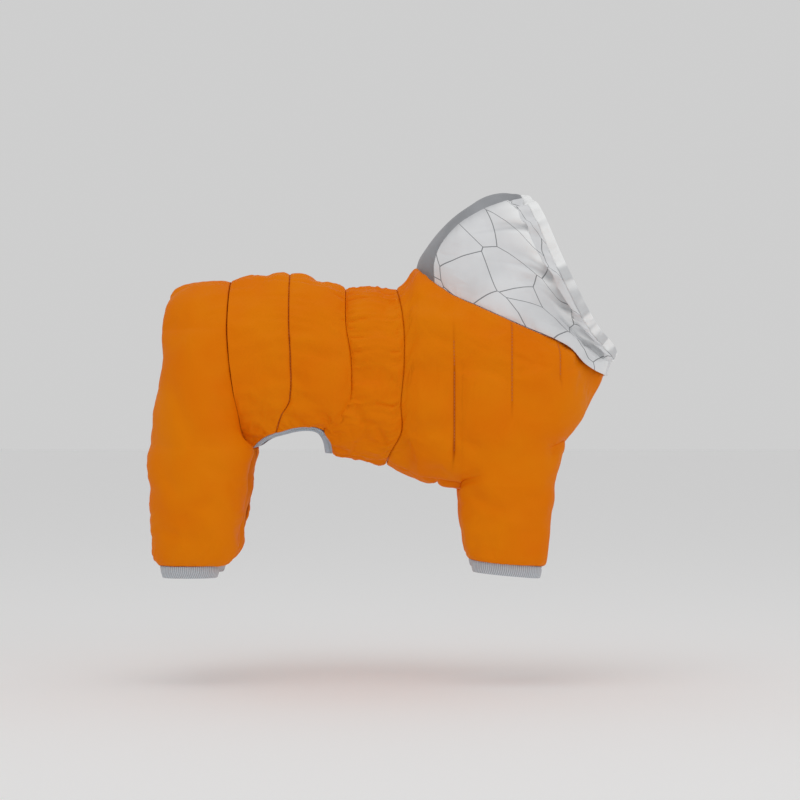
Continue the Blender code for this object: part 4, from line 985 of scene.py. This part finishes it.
def makeChest(cut):
    low = float(lowTurn(places["bellyRear"], 0))
    s, v = np.meshgrid(stations([0, 1], cut["cells"][0], 0.15), stations([0, 1], cut["cells"][1], 0.3))
    seam = seamX(seams["chest"], v[:, :1] * low) + seamGap / 2
    near, nape, throat = cut["rearShare"], places["nape"], places["throat"]
    x = np.where(s < near, seam + (nape - seam) * s / near, nape + (throat - nape) * (s - near) / (1 - near))
    turn = v * lowTurn(x, -1)
    turn[:, 0] = v[:, 0] * low
    base, normal = trunk(x, turn), trunkNormal(x, turn)
    x, z = base[..., 0], base[..., 2]
    _, down = gridLengths(base)
    lines = []
    for at, high, foot, strength in cut["lines"]:
        fade = ease(-z, -high - 22, -high + 14) * (1 - ease(-z, -foot - 16, -foot + 8))
        lines.append((np.abs(x - at), down, *cut["quiltLine"], strength * fade))
    swell, pucker, mark = sewnEdges(base, cut, lines=lines)
    away = down[-1:] - down
    arm = cut["armEdge"] * besideArm(x)
    swell = swell * (1 - (1 - arm) * (1 - soften(away, 1, cut["armReach"])))
    calm = 1 - np.exp(-(away / cut["calmReach"]) ** 2)
    # the swelling dies off at the throat and under the hood's front, and the neck edge keeps a quarter of it, or
    # all of it beside the waist seam
    fall = soften(throat - x, 1, cut["throatReach"])
    front = 1 - ease(x, 150, 180) * (1 - ease(v, 0.15, 0.4))
    beside = 1 - ease(x, 42, 60)
    neck = ease(down, 0, 26) * (1 - beside) + 0.25 + 0.75 * (1 - ease(x, 24, 42)) * beside
    sink = 1 - cut["frontSink"] * ease(x, 225, 255)
    out = swell * fall * front * np.minimum(neck, 1) * sink * (cut["swell"] + clothField(base, cut) * calm)
    out += padding["pucker"] * pucker * fall * calm
    held = sewnRound(out.shape)
    for line in lines:
        held |= (line[0] < 0.9) & (line[-1] > 0.25)
    free = calm * (0.2 + 0.8 * ease(down, 0, 24))
    outer = armFill(blown("chest", base + normal * out[..., None], normal, held, cut, free=free))
    paddedPair("chestShell", "chest", outer, base - normal * padding["wall"], mark)
    rows = []
    for at, high, foot, _ in cut["lines"]:
        col = np.argmin(np.abs(x - at), axis=1)
        line, ups = outer[np.arange(len(col)), col], normal[np.arange(len(col)), col]
        keep = (line[:, 2] < high - 4) & (line[:, 2] > foot + 10)
        rows.append((line[keep], ups[keep]))
    return rows


stitchLines += makeChest(chestCut)
print("chest made")

# belly piece, from the waist between the forelegs up to the throat, with one cross seam at the elbows
bellyCut = dict(
    cells=(64, 128), seeds=(71, 73), swell=4.5, wave=40, roll=1.0, excess=0.06, cap=5.0, fill=0.4,
    armEdge=0.6, armReach=12, throatReach=20, edges=dict(top=(14, 8, 1.5)),
    seam=75, seamReach=18, seamDepth=0.8, seamWidth=1.4, seamPuckers=(77, 9, 22), front=(190, 230))


def makeBelly(cut):
    share, s = np.meshgrid(stations([-1, 1], cut["cells"][0], 0.3), stations([0, 1], cut["cells"][1], 0.15))
    start = np.full(share.shape, 14.0)

    def pointAt(x):
        # height of the trunk's lower half at a share of the piece's half width
        edge = trunk(x, lowTurn(x, 1))[..., 1] - seamGap
        half, side, low, power = (through(trunkForm, k, x) for k in ("half", "side", "belly", "round"))
        y = share * edge
        flat = np.clip(1 - (np.abs(y) / half) ** (2 / power), 0, 1) ** (power / 2)
        return np.stack([x, y, side - (side - low) * flat], axis=-1)

    for _ in range(12):
        start = through(seams["chest"], "x", pointAt(start)[..., 2], key="z")
    x = start + seamGap / 2 + (places["throat"] - start - seamGap / 2) * s
    base = pointAt(x)
    normal = gridNormal(base, -1)
    edge = trunkNormal(x[:, -1], lowTurn(x[:, -1], 1))
    normal[:, -1], normal[:, 0] = edge, edge * [1, -1, 1]
    swell, pucker, mark = sewnEdges(base, cut)
    over, _ = gridLengths(base)
    away, fromSeam = np.minimum(over, over[:, -1:] - over), np.abs(x - cut["seam"])
    arm, flush = cut["armEdge"] * besideArm(x), soften(away, 1, cut["armReach"])
    swell = swell * (1 - (1 - arm) * (1 - flush)) * soften(places["throat"] - x, 1, cut["throatReach"])
    swell = swell * (1 - cut["seamDepth"] * (1 - soften(fromSeam, 1, cut["seamReach"])))
    pucker = pucker + 0.9 * puckers(over, fromSeam, *cut["seamPuckers"]) * flush
    field = clothField(np.stack([x, base[..., 1], base[..., 1]], axis=-1), cut)
    ahead = ease(x, *cut["front"])
    out = swell * (cut["swell"] + field) * (1 - 0.7 * ahead) + padding["pucker"] * pucker
    held = sewnRound(out.shape) | (fromSeam < cut["seamWidth"])
    outer = blown("belly", base + normal * out[..., None], normal, held, cut, free=1 - 0.6 * ahead)
    piece = wallMesh("bellyShell", outer, base - normal * padding["wall"], finishes["shell"],
                     marks=dict(seamLineShade=mark))
    settle(piece, "padded_shell", "belly")


makeBelly(bellyCut)
print("belly made")


def makeSleeve(cut):
    count = cut["cells"][0]
    phase = np.arange(count) * 2 * pi / count
    drop = stations([0, 1], cut["cells"][1], 0.45)[:, None]
    x = places["armMiddle"] + places["armReach"] * np.cos(phase)
    turn = places["armTurn"] - (places["armSpread"] + cut["tuck"]) * np.sin(phase)
    start, startNormal = trunk(x, turn), trunkNormal(x, turn)
    around = phase[None, :] + 0 * drop
    z = start[:, 2] * (1 - drop) + (places["hemFore"] - places["slantFore"] * np.cos(around)) * drop
    base = legRing(foreForm, z, around)
    base = base + (start - legRing(foreForm, start[:, 2], phase)) * (1 - ease(drop, 0, cut["join"]))[..., None]
    share = ease(drop, 0, 0.15)[..., None]
    normal = unit(startNormal[None] * (1 - share) + gridNormal(base, ring=True) * share)
    swell, pucker, mark = sewnEdges(base, cut, ring=True)
    _, down = gridLengths(base, True)
    swell = swell * (1 - (1 - cut["armEdge"]) * (1 - soften(down, 1, cut["armReach"])))
    calm = 1 - np.exp(-(down / cut["calmReach"]) ** 2)
    out = swell * (cut["swell"] + clothField(base, cut) * calm) + padding["pucker"] * pucker
    held = sewnRound(out.shape, True)
    outer = blown("sleeve", base + normal * out[..., None], normal, held, cut, ring=True, free=calm)
    outer = armFill(outer, ease(np.sin(phase), 0, cut["fillTurn"])[None])
    paddedPair("sleeveShell", "sleeve", outer, base - normal * padding["wall"], mark, ring=True)


makeSleeve(sleeveCut)
print("sleeves made")

# hood. gathers, at the face edge, are (seed, wave, reach, height); folds, which run back from it or meet at the
# throat, are (line, width, depth); the painted highlight fades out between two distances from the face edge
hoodCut = dict(
    cells=(150, 170), wall=1.3, faceSteps=220,
    casing=dict(width=11.0, thick=2.6, sink=0.9, corner=12, stitchAt=8.6),
    gathers=[(91, 15, 46, 8.0), (94, 7.5, 24, 2.4)], neckGather=dict(seed=97, wave=11, reach=12), neckHeight=0.6,
    crownGather=dict(seed=99, wave=10, reach=12), crownHeight=0.5, upright=30, paintedHighlight=(6, 52), slack=1.15,
    rows=[0.12, 0.27, 0.43, 0.6, 0.76, 0.9, 1], ends=[0, 0.13, 0.25, 0.4, 0.62, 0.84, 1],
    crownArc=[(183.5, 24, 102), (182.2, 14, 104.8), (181.5, 4, 106.2)],
    folds=[(((226, 17), (160, 5)), 7, 3.2), (((222, 30), (178, 24)), 6, -1.8), (((246, -26), (192, -18)), 6.5, 2.6),
           (((240, -10), (196, -4)), 6, -1.7), (((210, 60), (186, 66)), 4.5, 1.6), (((204, 82), (182, 78)), 4, 1.2),
           (((272, -68), (238, -60)), 4.5, 2.2), (((270, -76), (236, -80)), 4.5, 1.8),
           (((258, -52), (224, -44)), 5.5, 1.6), (((262, -64), (236, -70)), 4, -1.4),
           (((100, 10), (128, 52)), 12, 1.6), (((120, -4), (176, -14)), 10, 1.2), (((86, 24), (96, 52)), 7, 1.0)])


def faceLoop(cut):
    # the hood's free edge, from the throat over the crown and back, its way back along the cloth and its upright
    face, steps = hoodForm["face"], cut["faceSteps"]
    rows = np.stack([face["x"], face["y"], face["z"], np.radians(face["back"])], axis=-1)
    arc = [(*point, 3.0) for point in cut["crownArc"]]
    half = np.concatenate([along(rows, np.linspace(0, 1, steps)), along(arc, np.linspace(0, 1, steps // 8))[1:]])
    half[0, 1] = 1.0
    loop = evened(np.concatenate([half, half[::-1] * [1, -1, 1, 1]]), 3)
    edge, back = loop[:, :3], loop[:, 3]
    tangent, way = squareTo(edge, np.stack([np.cos(back), 0 * back, np.sin(back)], axis=-1))
    return edge, way, unit(np.cross(tangent, way))


def hoodPatch(cut):
    # four sided patch between the neck, the crown seam and the casing: two lofts less their shared corners, and how
    # far along the free edge each of its rows ends, with the casing's upright there
    u, v = np.meshgrid(stations([0, 1], cut["cells"][0], 0.2), stations([0, 1], cut["cells"][1], 0.25))
    low, corner, steps = hoodForm["low"], hoodForm["corner"], cut["faceSteps"]
    x = low["x"][0] + (low["x"][-1] - low["x"][0]) * u[0]
    bottom = np.stack([x, through(low, "y", x), through(low, "z", x)], axis=-1)
    top, back = crownSeam(corner + (1 - corner) * u[0]), crownSeam(corner * v[:, 0])
    free, way, up = (rows[:steps] for rows in faceLoop(cut))
    edge = free + way * (cut["casing"]["width"] + 1.2 * seamGap)
    edge[0, 1] = 0.3
    run = runOf(edge)
    at = through(dict(v=cut["rows"], s=cut["ends"]), "s", v[:, 0], key="v") * run[-1]
    tip = np.clip(v[:, 0] / cut["rows"][0], 0, 1)[:, None]
    front = np.where(tip < 1, bottom[-1] * (1 - tip) + edge[0] * tip, pick(edge, run, at))
    top = top + (front[-1] - top[-1]) * ease(u[0], 0.9, 1)[:, None]
    made = np.zeros((*u.shape, 3))
    for axis in (0, 2):
        lofted = (1 - v) * bottom[None, :, axis] + v * top[None, :, axis]
        left = back[:, None, axis] - (1 - v) * bottom[0, axis] - v * top[0, axis]
        right = front[:, None, axis] - (1 - v) * bottom[-1, axis] - v * top[-1, axis]
        made[..., axis] = lofted + (1 - u) * left + u * right
    # across: a full cheek, rounded over to the crown, then drawn in to the face edge and the back seam
    full = through(low, "full", x)
    cheek = (1 - v ** 3) * full + v ** 3 * top[:, 1]
    curve = (full - bottom[:, 1]) / (full[-1] - bottom[-1, 1])
    draw = curve + (ease(u, 0.45, 1) - curve) * ease(v, 0, 0.35)
    made[..., 1] = cheek + (front[:, 1:2] - cheek[:, -1:]) * draw + (back[:, 1:2] - cheek[:, :1]) * (1 - u) ** 2
    return made, np.interp(at, run, runOf(free))[:, None], pick(up, run, at)[:, None]


def gathers(run, away, folds):
    # folds of the elastic edge: soft ridges square to it that lean, widen and die off at uneven lengths
    total = 0
    for seed, wave, reach, height in folds:
        length = reach * (0.85 + 0.6 * noise(run / (1.6 * wave), 2.5 + 0 * away, seed + 1))
        lean = 0.5 * away * noise(run / (2.4 * wave), 1.5 + 0 * away, seed + 2)
        ahead, back = (run + lean) / wave, away / (3 * reach)
        ridge = 0.6 * billow(ahead, back, seed) + 0.7 * noise(ahead + 9, back, seed)
        rise = 0.5 + 0.5 * ease(away, 0, 0.35 * reach)
        total = total + height * ridge * rise * np.exp(-(away / length) ** 1.7)
    return total


def foldShade(height):
    # how much painted shade a fold's valley gets: 0 on its flank, 1 at nearly 3 mm down
    return ease(-height, -0.4, 2.8)


def makeHood(cut):
    base, edgeRun, edgeUp = hoodPatch(cut)
    over, fromNeck = gridLengths(base)
    fromFace, fromCrown = over[:, -1:] - over, fromNeck[-1:] - fromNeck
    near = (1 - ease(fromFace, 0, cut["upright"]))[..., None]
    normal = unit(gridNormal(base) * (1 - near) + edgeUp * near)
    out = cut["neckHeight"] * puckers(over, fromNeck, **cut["neckGather"])
    out += cut["crownHeight"] * puckers(over, fromCrown, **cut["crownGather"])
    for line, width, depth in cut["folds"]:
        out += crease(base, line, width, depth)
    x, z = base[..., 0], base[..., 2]
    out += 1.0 * noise(x / 44, z / 40, 101) + 0.35 * billow(x / 17, z / 15, 103)
    out *= soften(fromFace, 1, 9)
    gathered = gathers(edgeRun, fromFace + cut["casing"]["width"], cut["gathers"])
    out += gathered
    out *= soften(fromNeck, 1, 7) * soften(fromCrown, 1, 6) * soften(over, 1, 6)
    # painted shade: darker in the valleys of the gathers and in a band along the crown seam
    shadedValley = foldShade(gathered) * soften(fromNeck, 1, 9) + 0.8 * np.exp(-(fromCrown / 7) ** 1.4)
    patch = base + normal * out[..., None]
    inner = offMiddle(patch - normal * cut["wall"])
    patch = offMiddle(patch)
    # the hood sides carry a painted highlight that grows towards the face edge
    pieces = bothSides("hoodSide", "hood_side", patch, inner, finishes["reflective"], "reflective_cloth",
                       marks=dict(shadedValley=np.clip(shadedValley, 0, 1), paintedHighlight=1 - ease(fromFace, *cut["paintedHighlight"])))
    # casing: a folded tube round the face opening, which carries the same folds out to the free edge
    casing = cut["casing"]
    edge, way, up = faceLoop(cut)
    section = roundSection(26, 0.3)
    across, length = section[None, :, 0], runOf(edge)
    run = np.minimum(length, length[-1] - length)[:, None]
    ripple = gathers(run, casing["width"] * across, cut["gathers"]) * ease(run, 0, casing["corner"])
    # painted shade in the valleys of the casing's folds
    shadedValley = foldShade(ripple)
    ripple = ripple * (0.3 + 0.7 * across)
    ripple = ripple + 0.35 * billow(run / 5, across, 107) * np.sin(pi * across) * np.sign(section[None, :, 1])
    # the casing carries the full painted highlight all round, and painted shade in the valleys of its folds
    tube = bandMesh("hoodCasing", edge - up * casing["sink"], way, up, casing, finishes["reflectivePlain"], section,
                    ripple, marks=dict(shadedValley=shadedValley, paintedHighlight=1 + 0 * shadedValley))
    settle(tube, "reflective_cloth", "hood_casing")
    run = run[:, 0]
    lift = gathers(run, casing["stitchAt"] + 0 * run, cut["gathers"]) * ease(run, 0, casing["corner"]) + 0.4
    return [(edge + way * casing["stitchAt"] + up * lift[:, None], up)]


gussetCut = dict(cells=(170, 46), wall=1.3, widen=1.01, sideGather=dict(seed=111, wave=10, reach=10),
                 frontGather=dict(seed=115, wave=7, reach=14))


def makeGusset(cut):
    # centre strip over the crown: a shallow arch between the two crown seams, gathered into the casing in front
    at = stations([0, hoodForm["corner"], 1], cut["cells"][0], 0.1)
    seam = crownSeam(at)
    crown = along(np.stack([hoodForm["crown"]["x"], hoodForm["crown"]["z"]], axis=-1), at)
    share = stations([-1, 1], cut["cells"][1], 0.4)[None, :] * cut["widen"]
    base = np.stack([crown[:, :1] + (seam[:, :1] - crown[:, :1]) * share ** 2, seam[:, 1:2] * share,
                     crown[:, 1:] + (seam[:, 2:] - crown[:, 1:]) * share ** 2], axis=-1)
    over, down = gridLengths(base)
    away = np.minimum(over, over[:, -1:] - over)
    out = 0.7 * puckers(down, away, **cut["sideGather"])
    out += 0.8 * noise(down / 36, over / 26, 113) * soften(away, 1, 8)
    out += 1.3 * puckers(over, down[-1:] - down, **cut["frontGather"]) * soften(away, 1, 5)
    out *= soften(down, 1, 8)
    normal = gridNormal(base)
    outer = base + normal * out[..., None]
    piece = wallMesh("hoodGusset", outer, outer - normal * cut["wall"], finishes["reflectiveBack"])
    settle(piece, "reflective_cloth", "hood_gusset")


hoodStitches = makeHood(hoodCut)
makeGusset(gussetCut)
print("hood made")

# knitted binding round the tail and belly opening: it lies back from the opening towards aim, under the tail at the
# rear and under the belly in front, and its middle is sewn through
bindingCut = dict(
    width=10.0, thick=2.4, points=340, even=14, turn=30, wave=13, ripple=0.55, sink=0.8, stitchAt=2.6,
    stitchUp=1.25, tail=-219,
    aim=dict(frontX=-75, tailZ=-30, x=[-200, -150, -134, -118, -75], z=[-172, -178, -187, -190, -188]),
    counts=dict(rear=24, thigh=24, arch=30, waist=20), thighUp=1.6)


def openingLoop(cut):
    # the opening's edge: rump, top of the inner leg, loin's arch and waist on the left, then their mirror image
    counts = cut["counts"]
    rear = hindRear(legRows(counts["rear"], 1)[0][:counts["rear"]])
    foot = np.array([footOfSeam])
    ring = hindSurface(np.linspace(1, 0, counts["thigh"]), foot, hindFront(foot, np.array([rearEnd])),
                       inner=True)[0]
    thigh = ring + [0, 0, cut["thighUp"]]
    x = np.linspace(float(seamX(seams["rear"], rearEnd)), float(seamX(seams["waist"], waistEnd)), counts["arch"])
    arch = trunk(x, turnAt(x, through(seams["arch"], "z", x)))
    last = np.linspace(waistEnd, 1, counts["waist"])
    end = trunk(seamX(seams["waist"], last), last)
    half = np.concatenate([rear, thigh[1:-1], arch, end[1:]])
    run, count = runOf(half), cut["points"] // 2
    half = pick(half, run, (np.arange(count) + 0.5) / count * run[-1])
    return evened(np.concatenate([half, half[::-1] * [1, -1, 1]]), cut["even"])


def makeBinding(cut):
    edge, aim = openingLoop(cut), cut["aim"]
    x, y, z = edge.T
    rear = x < cut["tail"]
    aimX = np.where(rear, x, np.minimum(x, aim["frontX"]))
    aimZ = np.where(rear, np.minimum(z, aim["tailZ"]), np.interp(x, aim["x"], aim["z"]))
    tangent, way = squareTo(edge, np.stack([aimX - x, -y, aimZ - z], axis=-1))
    for _ in range(cut["turn"]):
        way = unit(evened(way, 1))
    up = unit(np.cross(tangent, way))
    section, run = roundSection(24, 0.5), runOf(edge)[:, None]
    across = section[None, :, 0]
    ripple = cut["ripple"] * noise(run / cut["wave"], across * 0.8, 121) * np.sin(pi * across)
    piece = bandMesh("openingBinding", edge - way * cut["sink"], way, up, cut, finishes["binding"], section, ripple)
    settle(piece, "binding_knit", "binding")
    return [(edge + way * cut["stitchAt"] + up * cut["stitchUp"], up)]


bindingStitches = makeBinding(bindingCut)

# ribbed cuffs under the gathered hems
cuffCut = dict(
    cells=(150, 22), wall=2.6, height=13.5, slack=0.95, rounding=0.16, drawIn=0.012, thin=0.4, wave=9, wobble=0.35,
    hind=dict(name="hindCuff", node="hind_cuff", form=hindForm, hem=places["hemHind"], slant=0.0,
              sizes=[0.955, 0.94, 0.885], above="rumpShell"),
    fore=dict(name="foreCuff", node="fore_cuff", form=foreForm, hem=places["hemFore"], slant=places["slantFore"],
              sizes=[0.975, 0.965, 0.93], above="sleeveShell"))


def makeCuff(cut, leg):
    # rings under a hem, drawn in a little as they go down, and rounded at both edges
    count, rows = cut["cells"]
    phase = np.arange(count) * 2 * pi / count
    down = np.linspace(0, 1, rows)[:, None]
    top = legRing(leg["form"], leg["hem"] - leg["slant"] * np.cos(phase), phase)
    middle = top.mean(axis=0)
    rounded = 1 - soften(np.minimum(down, 1 - down), 1, cut["rounding"])
    size = through(dict(at=[0, 0.5, 1], size=leg["sizes"]), "size", down, key="at") - cut["drawIn"] * rounded
    girth = runOf(top)[-1]
    wrap = int(girth / cut["wave"])
    wobble = cut["wobble"] * noise(phase[None, :] / 2 / pi * wrap, down * 1.5, 131, wrap)
    drop = np.stack([0 * down, 0 * down, seamGap + cut["height"] * down], axis=-1)
    outward = unit((top - middle) * [1, 1, 0])[None]
    outer = middle + (top - middle)[None] * size[..., None] - drop + outward * wobble[..., None]
    inner = outer - outward * (cut["wall"] * (1 - cut["thin"] * rounded))[..., None]
    for piece in bothSides(leg["name"], leg["node"], outer, inner, finishes["cuff"], "cuff_knit", ring=True):
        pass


for leg in ("hind", "fore"):
    makeCuff(cuffCut, cuffCut[leg])
print("binding and cuffs made")


# centre back zip: woven tape, two rows of coil, and the metal slider and pull from the CAD
zipCut = dict(
    rear=-219.0, front=51.2, half=6.1, high=-0.6, low=-1.8, cells=(260, 18),
    coilFrom=25.0, coilShort=8.0, pitch=1.5, coilUp=0.15, overlap=0.35, reach=1.7, radius=0.55, sides=6,
    at=[0, 0.08, 0.5, 0.92, 1], size=[0.45, 1.0, 0.8, 1.0, 0.45],
    ends=[[0, 1, 2, 3], [0, 3, 4, 5], [27, 26, 25, 24], [29, 28, 27, 24]])


def backHeight(x):
    # the trunk's back edge, then the rump's straight run to the tail
    top, turn = np.array([trunk(seamX(seams["rear"], 0.0), 0.0)[2]]), np.array([0.0])
    rear, front = hindRear(top)[0], hindFront(top, turn)[0]
    part = (x - rear[0]) / (front[0] - rear[0])
    return np.where(x > front[0], through(trunkForm, "top", x), front[2] * part + rear[2] * (1 - part))


def makeZip(cut):
    x = np.linspace(cut["rear"], cut["front"], cut["cells"][0])
    z = backHeight(x)
    share = np.linspace(-1, 1, cut["cells"][1])
    base = np.stack(np.broadcast_arrays(x[:, None], share[None] * cut["half"], z[:, None]), axis=-1)
    up = unit(np.stack([-np.gradient(z, x), 0 * x, 1 + 0 * x], axis=-1))
    tape = wallMesh("zipTape", base + up[:, None] * cut["high"], base + up[:, None] * cut["low"], finishes["tape"])
    settle(tape, "zip_tape", "zip_tape")
    run = runOf(base[:, 0])
    # coil: small rounded loops set alternately left and right of the middle
    at = np.arange(cut["coilFrom"], run[-1] - cut["coilShort"], cut["pitch"] / 2)
    lift = pick(up, run, at)
    spot = np.stack([np.interp(at, run, x), 0 * at, np.interp(at, run, z)], axis=-1)
    spot = spot + lift * (cut["high"] + cut["coilUp"])
    hand = np.where(np.arange(len(at)) % 2, 1.0, -1.0)[:, None]
    start, end = spot - hand * [0, cut["overlap"], 0], spot + hand * [0, cut["reach"], 0]
    middle = start[:, None] + (end - start)[:, None] * np.array(cut["at"])[None, :, None]
    side = unit(np.cross(unit(end - start), lift))
    points = barPoints(middle, side, lift, np.array(cut["size"]) * cut["radius"], cut["sides"])
    faces = gridFaces(len(cut["at"]), cut["sides"], ring=True)[:, [0, 3, 2, 1]]
    first = np.arange(len(at))[:, None, None] * len(cut["at"]) * cut["sides"]
    faces = (np.concatenate([faces, cut["ends"]])[None] + first).reshape(-1, 4)
    settle(meshObject("zipCoil", points.reshape(-1, 3), faces, finishes["coil"]), "zip_tape")


makeZip(zipCut)
for node in ("zip_slider", "zip_pull"):
    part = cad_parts[node]
    part.data.materials.clear()
    part.data.materials.append(finishes["metal"])
print("zip made")

mirrored = [(points * [1, -1, 1], ups * [1, -1, 1]) for points, ups in stitchLines]
stitchRow("quiltStitches_right", mirrored, wideStitch, finishes["thread"], "padded_shell")
stitchRow("quiltStitches_left", stitchLines, wideStitch, finishes["thread"], "padded_shell")
stitchRow("hoodStitches", hoodStitches, shortStitch, finishes["hoodThread"], "reflective_cloth")
stitchRow("bindingStitches", bindingStitches, shortStitch, finishes["paleThread"], "binding_knit")
print("stitches made")

# plain studio, in metres: pale floor and sky of one tone, a broad soft light overhead and a weaker one from the
# camera's side; the camera looks level from the right side, as the photograph does
studio = dict(
    floor=-0.45, size=14.0, tone="#fcfcfc", sky=0.62, lightSize=1.6,
    lights=dict(key=(8.0, (-0.3, -0.9, 2.2), (0.4, -0.1, 0.0)), front=(7.0, (1.8, -2.4, 0.9), (1.243, 0.0, 0.616))),
    eye=(0.0322, -3.0, -0.1265), lens=117.4, sensor=36.0)


def makeStudio(place):
    _, finish = newMaterial("studio_floor_paper", {"Roughness": 0.9, "Specular IOR Level": 0.1,
                                                   "Base Color": linear(place["tone"])})
    size, level = place["size"], place["floor"]
    mesh = bpy.data.meshes.new("floor")
    mesh.from_pydata([(x * size, y * size, level) for x, y in ((-1, -1), (1, -1), (1, 1), (-1, 1))], [],
                     [(0, 1, 2, 3)])
    mesh.materials.append(finish())
    addObject("floor", mesh)
    world = bpy.data.worlds.new("studio")
    bpy.context.scene.world = world
    world.use_nodes = True
    world.node_tree.nodes["Background"].inputs["Color"].default_value = linear("#ffffff")
    world.node_tree.nodes["Background"].inputs["Strength"].default_value = place["sky"]
    for name, (energy, spot, turn) in place["lights"].items():
        light = bpy.data.lights.new(name, "AREA")
        light.energy, light.size = energy, place["lightSize"]
        lamp = addObject(name, light)
        lamp.location, lamp.rotation_euler = spot, turn
    camera = bpy.data.cameras.new("camera")
    camera.lens, camera.sensor_width = place["lens"], place["sensor"]
    eye = addObject("camera", camera)
    eye.location, eye.rotation_euler = place["eye"], (pi / 2, 0, 0)
    bpy.context.scene.camera = eye


makeStudio(studio)
bpy.context.scene.view_settings.view_transform = "Standard"
bpy.context.view_layer.update()
print("scene made")
